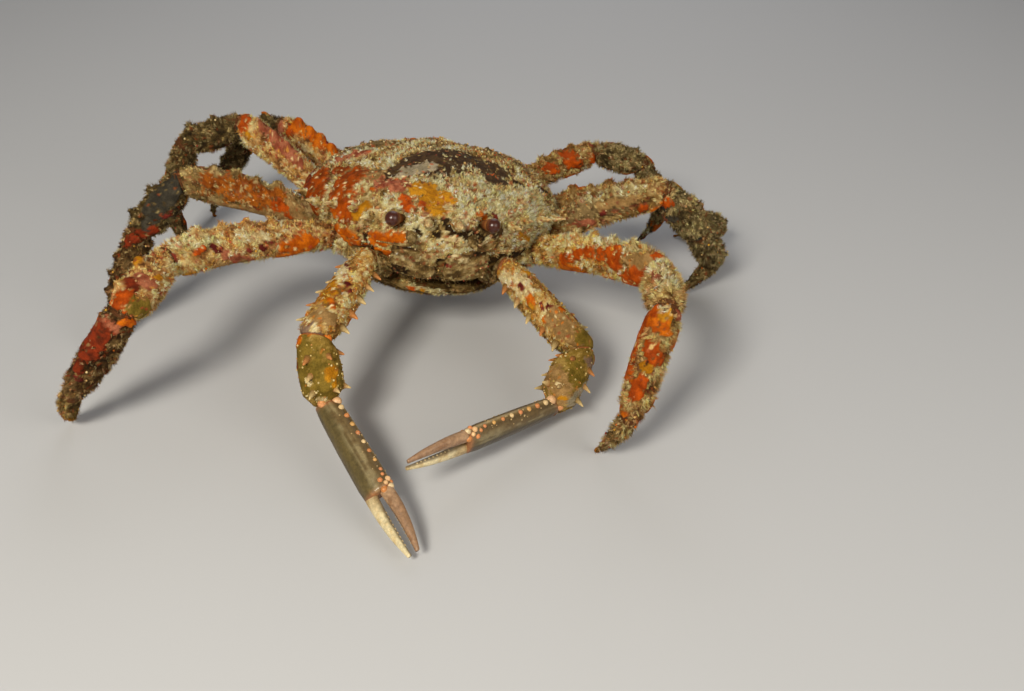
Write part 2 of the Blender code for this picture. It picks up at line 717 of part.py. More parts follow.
def finger(palm, tips, up, name, finish, sink):
    """A slim finger from the upper or lower half of the hand's end to its tip."""
    root = palm.end + palm.tall * FINGER_SPREAD * up - palm.axis * sink
    tip = tips + palm.tall * FINGER_TIP_SPREAD * up
    segment = Segment(root, tip, palm.axis, (tip - root).normalized(), palm.across, FINGER_HALF,
                      FINGER_HALF, FINGER_TIP_HALF, FINGER_PROFILE, FINGER_SIDES, FINGER_BOW * up)
    return loft(name, segment.rings(reach=0.0), finish)


def thorn_rows(segment, rows, place, radius):
    """Rows of thorns along a segment, each leaning a little towards its far end."""
    start, span = place
    made = []
    for angle, count, length in rows:
        for k in range(count):
            spot, out = segment.surface(start + span * k / (count - 1), angle)
            made.append(spine(spot, out + segment.axis * THORN_LEAN, length, radius))
    return made


def palm_beads(palm):
    """The row of beads along the hand's back edge."""
    start, span = PALM_BEAD_PLACE
    made = []
    for k in range(PALM_BEADS):
        spot, out = palm.surface(start + span * k / (PALM_BEADS - 1), 90)
        made.append(bead(spot, out, PALM_BEAD_RADIUS, 0.9))
    return made


def make_arm(side_name, finish, hand_finish):
    segments, tips = arm_segments(side_name)
    palm = segments["palm"]
    extras = {
        "coxa": [],
        "merus": thorn_rows(segments["merus"], MERUS_THORNS, MERUS_THORN_PLACE, MERUS_THORN_RADIUS),
        "carpus": thorn_rows(segments["carpus"], CARPUS_THORNS, CARPUS_THORN_PLACE, CARPUS_THORN_RADIUS),
        "palm": palm_beads(palm) + [finger(palm, tips, -1, "fixed_finger", None, FINGER_SINK)],
    }
    for kind, segment in segments.items():
        made = segment.build(f"claw_{side_name}_{kind}", hand_finish if kind == "palm" else finish)
        fuse(made, extras[kind])
        move_to(made, parts)
    moving = finger(palm, tips, 1, f"claw_{side_name}_dactyl", hand_finish, -GAP / 2)
    move_to(moving, parts)
    return segments


for old in list(bpy.data.objects):
    bpy.data.objects.remove(old)

parts = bpy.data.collections.new("channel_clinging_crab")
cutters = bpy.data.collections.new("cutters")
bpy.context.scene.collection.children.link(parts)
bpy.context.scene.collection.children.link(cutters)

BODY = body_matrix()

shell_finish = material("mottled_shell", (0.36, 0.31, 0.20), 0.75)
leg_finish = material("leg_shell", (0.45, 0.30, 0.18), 0.75)
hand_finish = material("bare_hand_shell", (0.30, 0.28, 0.20), 0.45)
eye_finish = material("dark_eye", (0.05, 0.03, 0.02), 0.2)
under_finish = material("underside_shell", (0.50, 0.44, 0.30), 0.7)

body_frame = bpy.data.objects.new("body_frame", None)
bpy.context.scene.collection.objects.link(body_frame)
body_frame.matrix_world = BODY

carapace = make_carapace(shell_finish)
thorax = make_thorax(under_finish)
abdomen = make_abdomen(under_finish)
body_pieces = [carapace, thorax, abdomen]

orbits = [ball(mirrored(ORBIT_AT, side), ORBIT_RADII, 10, 6) for side in (1, -1)]
carve(carapace, orbits)
sockets = [eye_stalk(side, GAP) for side in (1, -1)]
for side in (1, -1):
    points, radii = antenna_line(side)
    sockets.append(tube("antenna_socket", points[:3], radii[:3], 6, None, GAP))
carve(carapace, sockets)
for side, letter in ((1, "l"), (-1, "r")):
    body_pieces.append(make_eye(side, f"eye_{letter}", eye_finish))
    body_pieces.append(make_antenna(side, f"antenna_{letter}", shell_finish))
    body_pieces.append(mouth_plate(side, f"maxilliped_{letter}", under_finish))
for target in (carapace, thorax):
    carve(target, [mouth_plate(side, "mouth_frame", None, GAP) for side in (1, -1)])
for piece in body_pieces:
    piece.parent = body_frame
    move_to(piece, parts)
bpy.context.view_layer.update()

limb_segments = []
for side_name in ("r", "l"):
    for limb in ("leg1", "leg2", "leg3", "leg4"):
        limb_segments.append(make_leg(limb, side_name, leg_finish))
    limb_segments.append(make_arm(side_name, leg_finish, hand_finish))
for target in (carapace, thorax):
    for kind in ("coxa", "merus"):
        cutting = [loft("socket", s[kind].rings(GAP, GAP)) for s in limb_segments]
        carve(target, cutting)
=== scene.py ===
# The looks of a channel clinging crab: its shell, the turf and sponge that grow on it, eyes and bare hands.
# Metres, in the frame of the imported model: the crab faces -Y, its left side is +X, the floor is z = 0.

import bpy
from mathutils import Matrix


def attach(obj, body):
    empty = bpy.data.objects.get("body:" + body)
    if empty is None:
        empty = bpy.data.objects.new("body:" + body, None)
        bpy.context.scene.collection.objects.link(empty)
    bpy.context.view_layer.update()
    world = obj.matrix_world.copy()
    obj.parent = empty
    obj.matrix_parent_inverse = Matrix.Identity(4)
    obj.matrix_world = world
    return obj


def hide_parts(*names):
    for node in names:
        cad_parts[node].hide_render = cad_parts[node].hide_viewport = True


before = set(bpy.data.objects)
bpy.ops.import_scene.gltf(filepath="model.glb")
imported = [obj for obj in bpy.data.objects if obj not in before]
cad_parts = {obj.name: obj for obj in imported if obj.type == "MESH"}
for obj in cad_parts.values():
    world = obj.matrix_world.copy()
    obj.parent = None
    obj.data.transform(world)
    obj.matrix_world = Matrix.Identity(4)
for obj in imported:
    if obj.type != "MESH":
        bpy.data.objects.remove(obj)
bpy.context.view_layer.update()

import math
import random

import bpy
import numpy as np
from mathutils import Matrix, Vector

# The body: where it stands and how it is turned, in degrees.
BODY_AT = (0.0009, 0.0502, 0.0690)
BODY_YAW = 8
BODY_NOSE_UP = 14
BODY_LEFT_DOWN = 7

# Half of the carapace's outline from above, front to back, in the body's own axes.
HALF_OUTLINE = (
    (0.000, -0.0720), (0.010, -0.0730), (0.024, -0.0660), (0.034, -0.0580), (0.047, -0.0450),
    (0.061, -0.0260), (0.071, -0.0020), (0.0735, 0.0200), (0.067, 0.0400), (0.053, 0.0560),
    (0.036, 0.0665), (0.018, 0.0720), (0.000, 0.0730),
)
SHELL_MIDDLE = (0.0, 0.004)
DOME_HEIGHT = 0.0330
DOME_FULLNESS = 0.62
SPLIT_HEIGHT = -0.010
STERNUM_HEIGHT = -0.030
FRONT_LIFT = 0.0065
FRONT_STARTS = -0.010
FRONT_SPAN = 0.040
RELIEF_FADE = 0.15
# Rings of the walls, from the lowest up: the outline's scale at the sides and in front, height, lift in front.
CARAPACE_WALL = (
    (0.930, 0.955, SPLIT_HEIGHT, 0.0), (0.985, 0.990, -0.0045, 0.0040), (1.0, 1.0, 0.0, FRONT_LIFT),
)
THORAX_WALL = (
    (0.46, 0.64, STERNUM_HEIGHT, 0.0), (0.66, 0.80, -0.0252, 0.0), (0.82, 0.90, -0.0180, 0.0),
    (0.930, 0.955, SPLIT_HEIGHT, 0.0),
)
# Swellings and grooves of the shell's regions: middle x and y, reach, height.
REGIONS = (
    (0.000, -0.022, 0.024, 0.0030), (0.000, 0.026, 0.016, 0.0022), (0.041, 0.014, 0.026, 0.0026),
    (0.023, -0.004, 0.009, -0.0030), (0.000, 0.006, 0.008, -0.0020), (0.046, -0.036, 0.012, 0.0022),
    (0.000, -0.060, 0.010, -0.0028), (0.017, 0.020, 0.008, -0.0022), (0.034, -0.020, 0.008, -0.0020),
)
TURF_DEPTH = 0.0011
OUTLINE_COLUMNS = 380
WALL_ROWS = 18
DOME_ROWS = 110
DOME_CENTRE_SCALE = 0.03
THORAX_COLUMNS = 220
THORAX_ROWS = 32
CRUST_SIZE = 0.0034
CRUST_HEIGHT = 0.0007
CRUST_LEVEL = 0.4
TURF_PARTING = -0.012

HORN_ROOT = (0.0066, -0.0665, 0.0085)
HORN_TIP = (0.0085, -0.0810, 0.0110)
HORN_RADIUS = 0.0045
HORN_BLUNTNESS = 0.35
ORBIT_AT = (0.0246, -0.0662, 0.0094)
ORBIT_RADII = (0.0080, 0.0066, 0.0054)
EYE_AT = (0.0253, -0.0675, 0.0094)
EYE_RADIUS = 0.0038
EYE_BALL_SHARE = 1.02
EYE_TURN = (-0.9, 1.5)
EYE_RIM_TURN = 0.15
EYE_STALK_ROOT = (0.0178, -0.0565, 0.0070)
EYE_STALK_RADIUS = 0.0024
# Rings of the eye's stalk: share of its reach, radius, tone, how bare it is.
EYE_STALK_RINGS = (
    (0.0, EYE_STALK_RADIUS, (86, 62, 34), 0.2), (0.45, EYE_STALK_RADIUS * 0.9, (116, 86, 48), 0.2),
    (0.68, EYE_STALK_RADIUS * 1.2, (122, 66, 32), 0.3), (0.86, EYE_RADIUS * 0.93, (146, 96, 50), 0.3),
    (1.02, EYE_RADIUS * 0.99, (84, 48, 26), 0.3),
)
# Spines round the orbit: root, way, length, radius. Those on the margin: how far back, length, radius.
ORBIT_SPINES = (
    ((0.0150, -0.0670, 0.0100), (0.05, -0.92, 0.30), 0.0075, 0.0026),
    ((0.0365, -0.0565, 0.0065), (0.55, -0.82, 0.10), 0.0090, 0.0030),
)
ORBIT_SPINE_BLUNTNESS = 0.15
MARGIN_SPINES = (
    (-0.0480, 0.0085, 0.0030), (-0.0360, 0.0095, 0.0032), (-0.0200, 0.0095, 0.0032),
    (-0.0010, 0.0085, 0.0030), (0.0190, 0.0075, 0.0028), (0.0370, 0.0060, 0.0026),
)
MARGIN_AIM = (0.0, 0.030, -0.020)
MARGIN_SPINE_RISE = 0.0015
# Rings of a thorn and of a bead: share of its length or radius outwards, share of its radius.
THORN_FORM = ((-0.30, 1.00), (0.0, 0.98), (0.25, 0.76), (0.50, 0.54), (0.72, 0.37), (0.88, 0.24), (0.97, 0.12))
BEAD_FORM = ((-0.55, 0.86), (-0.1, 1.0), (0.3, 0.94), (0.62, 0.74), (0.84, 0.46), (0.95, 0.20))
THORN_SIDES = 10
# The crusted spines of the shell: their rings and sides, their turf, and where this thins to a bare tip.
SPINE_ROWS = 16
SPINE_SIDES = 22
SPINE_TURF_DEPTH = 0.0005
SPINE_ROUGHNESS = 0.7
SPINE_TIP_STARTS = (0.45, 0.80)
TUBERCLE_COUNT = 64
TUBERCLE_SEED = 11
TUBERCLE_SPACING = 0.0098
TUBERCLE_RADIUS = 0.0016
TUBERCLE_EDGE_EXTRA = 0.0010
TUBERCLE_HEIGHT_SHARE = 0.8
TUBERCLE_ZONE = (0.30, 0.92)
TUBERCLE_RIM_STEPS = 48
GOLDEN_SHARE = 0.381966
BROW = (-0.056, 0.036)

MOUTH_PLATE_ROOT = (0.0134, -0.0685, -0.0045)
MOUTH_PLATE_FOOT = (0.0138, -0.0615, -0.0215)
MOUTH_PLATE_ACROSS = (0.97, 0.24, 0.0)
MOUTH_PLATE_HALF_WIDTH = 0.0124
MOUTH_PLATE_HALF_THICKNESS = 0.0026
# Rings of a mouth plate and of the antenna's base: share of the length, then shares of the sizes.
MOUTH_PLATE_PROFILE = (
    (-0.02, 0.30, 0.30), (0.0, 0.80, 0.70), (0.12, 0.95, 1.0), (0.50, 1.0, 1.15), (0.85, 0.92, 1.0),
    (1.0, 0.70, 0.70), (1.02, 0.25, 0.30),
)
MOUTH_PLATE_COLUMNS = 90
MOUTH_PLATE_ROWS = 54
MOUTH_GROOVE_AT = 0.42
MOUTH_GROOVE_WIDTH = 0.035
MOUTH_GROOVE_DEPTH = 0.0008
MOUTH_TURF_DEPTH = 0.0006
ANTENNA_ROOT = (0.0150, -0.0640, 0.0020)
ANTENNA_KNEE = (0.0158, -0.0800, 0.0010)
ANTENNA_TIP = (0.0330, -0.0900, 0.0040)
ANTENNA_BASE_RADIUS = 0.0030
ANTENNA_BASE_PROFILE = ((0, 0.95), (0.4, 1.0), (0.8, 0.82), (1, 0.5))
ANTENNA_BASE_ROWS = 14
ANTENNA_BASE_SHARE = 0.92
ANTENNA_WHIP_RADIUS = 0.0011
ANTENNA_WHIP_ROWS = 120
ANTENNA_TIP_RADIUS = 0.0004
ANTENNA_BEND = 0.006
ANTENNA_RINGS = 26
ANTENNA_COLUMNS = 16
# The two spines of the antenna's base: share of its length, lean outwards.
ANTENNA_SPINES = ((0.35, 0.9), (0.72, 1.1))
ANTENNA_SPINE_SIZE = (0.0042, 0.0012)

ABDOMEN_HALF_WIDTH = 0.043
ABDOMEN_FRONT = -0.046
ABDOMEN_BACK = 0.050
# Rings of the apron, from the sternum down: scale, drop.
ABDOMEN_RINGS = (
    (0.86, 0.0), (0.99, 0.0022), (1.0, 0.0050), (0.93, 0.0085), (0.70, 0.0112), (0.35, 0.0122), (0.04, 0.0124),
)
ABDOMEN_COLUMNS = 200
ABDOMEN_ROWS = 80
APRON_JOINTS = 6
APRON_GROOVE_WIDTH = 0.045
APRON_GROOVE_DEPTH = 0.0009
APRON_TURF_DEPTH = 0.0006

# Limb roots in the body's axes, left side: socket in the thorax, then start of the long segment.
SOCKETS = {
    "leg1": ((0.036, -0.027, -0.0215), (0.056, -0.028, -0.0140)),
    "leg2": ((0.038, -0.005, -0.0210), (0.062, -0.004, -0.0120)),
    "leg3": ((0.035, 0.019, -0.0195), (0.058, 0.024, -0.0080)),
    "leg4": ((0.026, 0.041, -0.0180), (0.045, 0.057, -0.0060)),
    "claw": ((0.025, -0.041, -0.0225), (0.036, -0.050, -0.0180)),
}
# The length of each limb's segments, from the merus on.
LENGTHS = {
    "leg1": (0.087, 0.042, 0.058, 0.036),
    "leg2": (0.076, 0.037, 0.051, 0.033),
    "leg3": (0.075, 0.036, 0.051, 0.034),
    "leg4": (0.064, 0.031, 0.043, 0.030),
    "claw": (0.061, 0.033, 0.057, 0.034),
}
THICKNESS = {"leg1": 1.0, "leg2": 0.97, "leg3": 0.93, "leg4": 0.86}
# Heading from +X towards +Y and climb of each segment, in degrees. The last climb reaches the floor.
POSE = {
    "leg1_r": ((-147, 8), (-102, -5), (-176, -54), (132, None)),
    "leg2_r": ((-169, 22), (-161, -45), (-166, -65), (-110, None)),
    "leg3_r": ((147, 22), (-177, -20), (175, -70), (-20, None)),
    "leg4_r": ((144, 19), (160, -22), (175, -58), (150, None)),
    "leg1_l": ((-44, 17), (-92, 8), (-136, -72), (141, None)),
    "leg2_l": ((-8, 28), (12, -50), (58, -47), (200, None)),
    "leg3_l": ((8, 8), (0, -28), (60, -32), (150, None)),
    "leg4_l": ((10, 25), (5, -14), (30, -60), (180, None)),
    "claw_r": ((-108, -9), (-71, -61), (-56, -15), (-57, -14)),
    "claw_l": ((-42, -26), (-119, -30), (-139, 8), (-139, 8)),
}
HAND_UP = {"claw_r": (0.80, 0.30, 0.55), "claw_l": (-0.10, -0.25, 0.95)}
LEG_KINDS = ("coxa", "merus", "carpus", "propodus", "dactyl")
ARM_KINDS = ("coxa", "merus", "carpus", "palm")
# Half width and half height of the segments, and of their ends at each joint.
LEG_HALF = {"merus": (0.0092, 0.0100), "carpus": (0.0092, 0.0097), "propodus": (0.0086, 0.0092),
            "dactyl": (0.0062, 0.0066)}
LEG_JOINTS = ((0.0068, 0.0072), (0.0072, 0.0078), (0.0068, 0.0072), (0.0052, 0.0056), (0.0012, 0.0012))
COXA_HALF = 0.0080
ARM_HALF = {"merus": (0.0094, 0.0100), "carpus": (0.0098, 0.0102), "palm": (0.0046, 0.0076)}
ARM_JOINTS = ((0.0066, 0.0070), (0.0068, 0.0074), (0.0042, 0.0060), (0.0044, 0.0074))
FINGER_HALF = (0.0028, 0.0034)
FINGER_TIP_HALF = (0.0009, 0.0011)
FINGER_SPREAD = 0.0038
FINGER_TIP_SPREAD = 0.0022
FIXED_FINGER_SINK = 0.008
MOVING_FINGER_GAP = 0.00015
FINGER_BOW = 0.0012
FINGER_TEETH = 9
TOOTH_PLACE = (0.42, 0.055)
TOOTH_RADIUS = 0.00062
# How a segment swells along it: share of its length, share of its half sizes.
PROFILES = {
    "coxa": ((0.35, 1.0), (0.80, 0.98)),
    "merus": ((0.10, 0.84), (0.30, 0.96), (0.60, 1.0), (0.84, 1.04), (0.94, 1.0)),
    "carpus": ((0.14, 0.92), (0.45, 1.06), (0.80, 1.04)),
    "propodus": ((0.10, 0.94), (0.45, 1.0), (0.82, 0.92)),
    "dactyl": ((0.12, 0.94), (0.45, 0.74), (0.75, 0.44)),
    "palm": ((0.12, 0.90), (0.50, 1.0), (0.88, 1.04)),
    "finger": ((0.30, 0.92), (0.70, 0.66)),
}
LEG_BOWS = {"merus": 0.0030, "dactyl": 0.0025}
MITRE_REACH = 0.3
LEG_COLUMNS = 64
LEG_RING_GAP = 0.00092
ARM_COLUMNS = 72
ARM_RING_GAP = 0.00085
LEAST_RINGS = 16
JOINT_REACH = 0.0030
JOINT_PINCH = 6000
# Rows of thorns: turn round the limb in degrees, count, length. Where the rows start, and their span.
MERUS_THORNS = ((0, 5, 0.0052), (180, 5, 0.0050), (95, 4, 0.0036))
MERUS_THORN_PLACE = (0.16, 0.665)
MERUS_THORN_RADIUS = 0.0021
CARPUS_THORNS = ((0, 3, 0.0050), (180, 3, 0.0042), (70, 2, 0.0030), (120, 2, 0.0030))
CARPUS_THORN_PLACE = (0.26, 0.50)
CARPUS_THORN_RADIUS = 0.0019
THORN_SINK = 0.0010
THORN_LEAN = 0.33
THORN_BEND = 0.12
# Rows of knobs: turn round the limb in degrees, count, height, radius.
LEG_KNOBS = {
    "merus": ((92, 4, 0.0036, 0.0042), (25, 2, 0.0020, 0.0030), (155, 2, 0.0020, 0.0030)),
    "carpus": ((92, 2, 0.0030, 0.0036),),
    "propodus": ((92, 3, 0.0022, 0.0030),),
}
LEG_KNOB_PLACE = (0.37, 0.45)
LEG_KNOB_LEAN = 0.15
LEG_KNOB_SEED = 23
LEG_KNOB_CHANGE = (0.80, 1.15)
PALM_BEADS = 8
PALM_BEAD_PLACE = (0.14, 0.70)
PALM_BEAD_RADIUS = 0.0013
PALM_BEAD_TURN = {"r": 24, "l": -17}
PALM_GRAINS = 30
PALM_GRAIN_RADII = (0.0003, 0.0005)
BEAD_SINK = 0.0003
WRIST_KNOB = (0.05, 90, 0.0026)
WRIST_KNOB_SINK = 0.0012
# The cluster of knobs round the hinge of the movable finger: place along the hand, turn, radius.
HINGE_KNOBS = (
    (0.89, 30, 0.0010), (0.94, 12, 0.0015), (0.93, 52, 0.0013), (0.97, 34, 0.0012), (0.965, -14, 0.0013),
)
FINGER_KNOB_RADIUS = 0.0017

# The camera that sees the crab as the photograph does, 1024 by 691 pixels.
CAMERA_AT = Vector((0.0469, -0.4481, 0.3454))
CAMERA_DOWN = 36.9
CAMERA_ROLL = 1.5
LENS_MM = 35.0
SENSOR_MM = 36.0
PICTURE = (1024, 691)

# Turf: dark, middle and light tone, then the flecks in it.
TURF = {
    "pale": ((100, 72, 34), (196, 162, 98), (250, 232, 172), ((196, 96, 50), (250, 228, 168), (140, 62, 44))),
    "khaki": ((84, 62, 32), (142, 114, 66), (192, 164, 110), ((152, 84, 48), (204, 180, 122), (112, 80, 48))),
    "sandy": ((98, 66, 30), (164, 124, 68), (214, 180, 116), ((172, 88, 46), (224, 194, 126), (122, 56, 40))),
    "rosy": ((128, 80, 42), (210, 156, 90), (250, 214, 146),
             ((170, 66, 44), (224, 156, 66), (250, 222, 160))),
    "olive": ((50, 38, 18), (92, 73, 40), (140, 118, 75), ((132, 62, 28), (158, 138, 88), (62, 48, 24))),
    "mossy": ((62, 48, 24), (116, 98, 60), (166, 146, 98), ((134, 76, 40), (184, 164, 112), (82, 66, 38))),
    "brown": ((44, 28, 12), (84, 58, 28), (134, 104, 62), ((142, 58, 22), (156, 126, 78), (66, 38, 18))),
    "cream": ((128, 88, 40), (214, 162, 84), (252, 222, 150),
              ((222, 122, 28), (166, 84, 48), (254, 234, 176))),
    "smooth": ((96, 74, 24), (134, 106, 42), (164, 134, 68), ((184, 114, 46), (186, 156, 88), (112, 96, 36))),
    "dusky": ((56, 38, 16), (118, 90, 44), (164, 134, 80), ((138, 66, 32), (178, 148, 90), (82, 64, 32))),
}
# Growths, and the painted shade and sheen that are laid on like them: dark and light tone, share of the turf
# that stands on it, how bare it is, rise in metres, and how much of its patch it fills.
GROWTHS = {
    "orange": ((160, 70, 2), (198, 102, 8), 0.05, 0.55, 0.0006, 1.0),
    "ember": ((120, 50, 1), (168, 72, 6), 0.03, 0.50, 0.0009, 1.18),
    "red": ((140, 54, 3), (180, 76, 8), 0.05, 0.50, 0.0007, 1.08),
    "scarlet": ((88, 32, 10), (132, 46, 16), 0.10, 0.35, 0.0005, 1.0),
    "bristle": ((132, 64, 12), (180, 100, 24), 0.85, 0.10, 0.0, 1.0),
    "amber": ((156, 100, 8), (190, 130, 24), 0.08, 0.45, 0.0005, 1.0),
    "nubs": ((150, 92, 8), (204, 138, 26), 0.60, 0.15, 0.0003, 0.95),
    "pink": ((134, 66, 42), (178, 108, 76), 0.35, 0.10, 0.0002, 0.95),
    "maroon": ((78, 22, 18), (120, 46, 34), 0.20, 0.15, 0.0002, 0.70),
    # A dark grey growth; under the knee of the second left leg it is painted shade.
    "slate_and_shade": ((46, 42, 34), (66, 60, 48), 0.04, 0.45, -0.0002, 1.0),
    "umber": ((55, 37, 20), (79, 58, 34), 0.0, 0.35, -0.0003, 1.1),
    # A painted sheen: bare shell lightened to a bluish grey where it catches the light.
    "painted_sheen": ((136, 124, 98), (176, 160, 132), 0.10, 0.45, -0.0001, 1.0),
    "plum": ((104, 80, 66), (136, 110, 88), 0.12, 0.45, 0.0, 1.0),
    "sand": ((134, 102, 58), (166, 130, 80), 0.22, 0.25, 0.0, 1.0),
    # shade is no growth: painted shade in hollows, creases and under the margins, where the surface is also
    # sunk a little.
    "shade": ((34, 22, 8), (58, 40, 18), 0.25, 0.10, -0.0009, 1.0),
    "ivory": ((206, 176, 120), (246, 226, 174), 0.85, 0.15, 0.0003, 1.0),
    "shag": ((176, 148, 90), (250, 232, 172), 1.35, 0.0, 0.0, 1.0),
    "felt": ((98, 76, 44), (150, 124, 80), 0.65, 0.05, 0.0, 1.0),
    "moss": ((98, 80, 24), (128, 104, 38), 0.12, 0.30, 0.0001, 0.95),
}
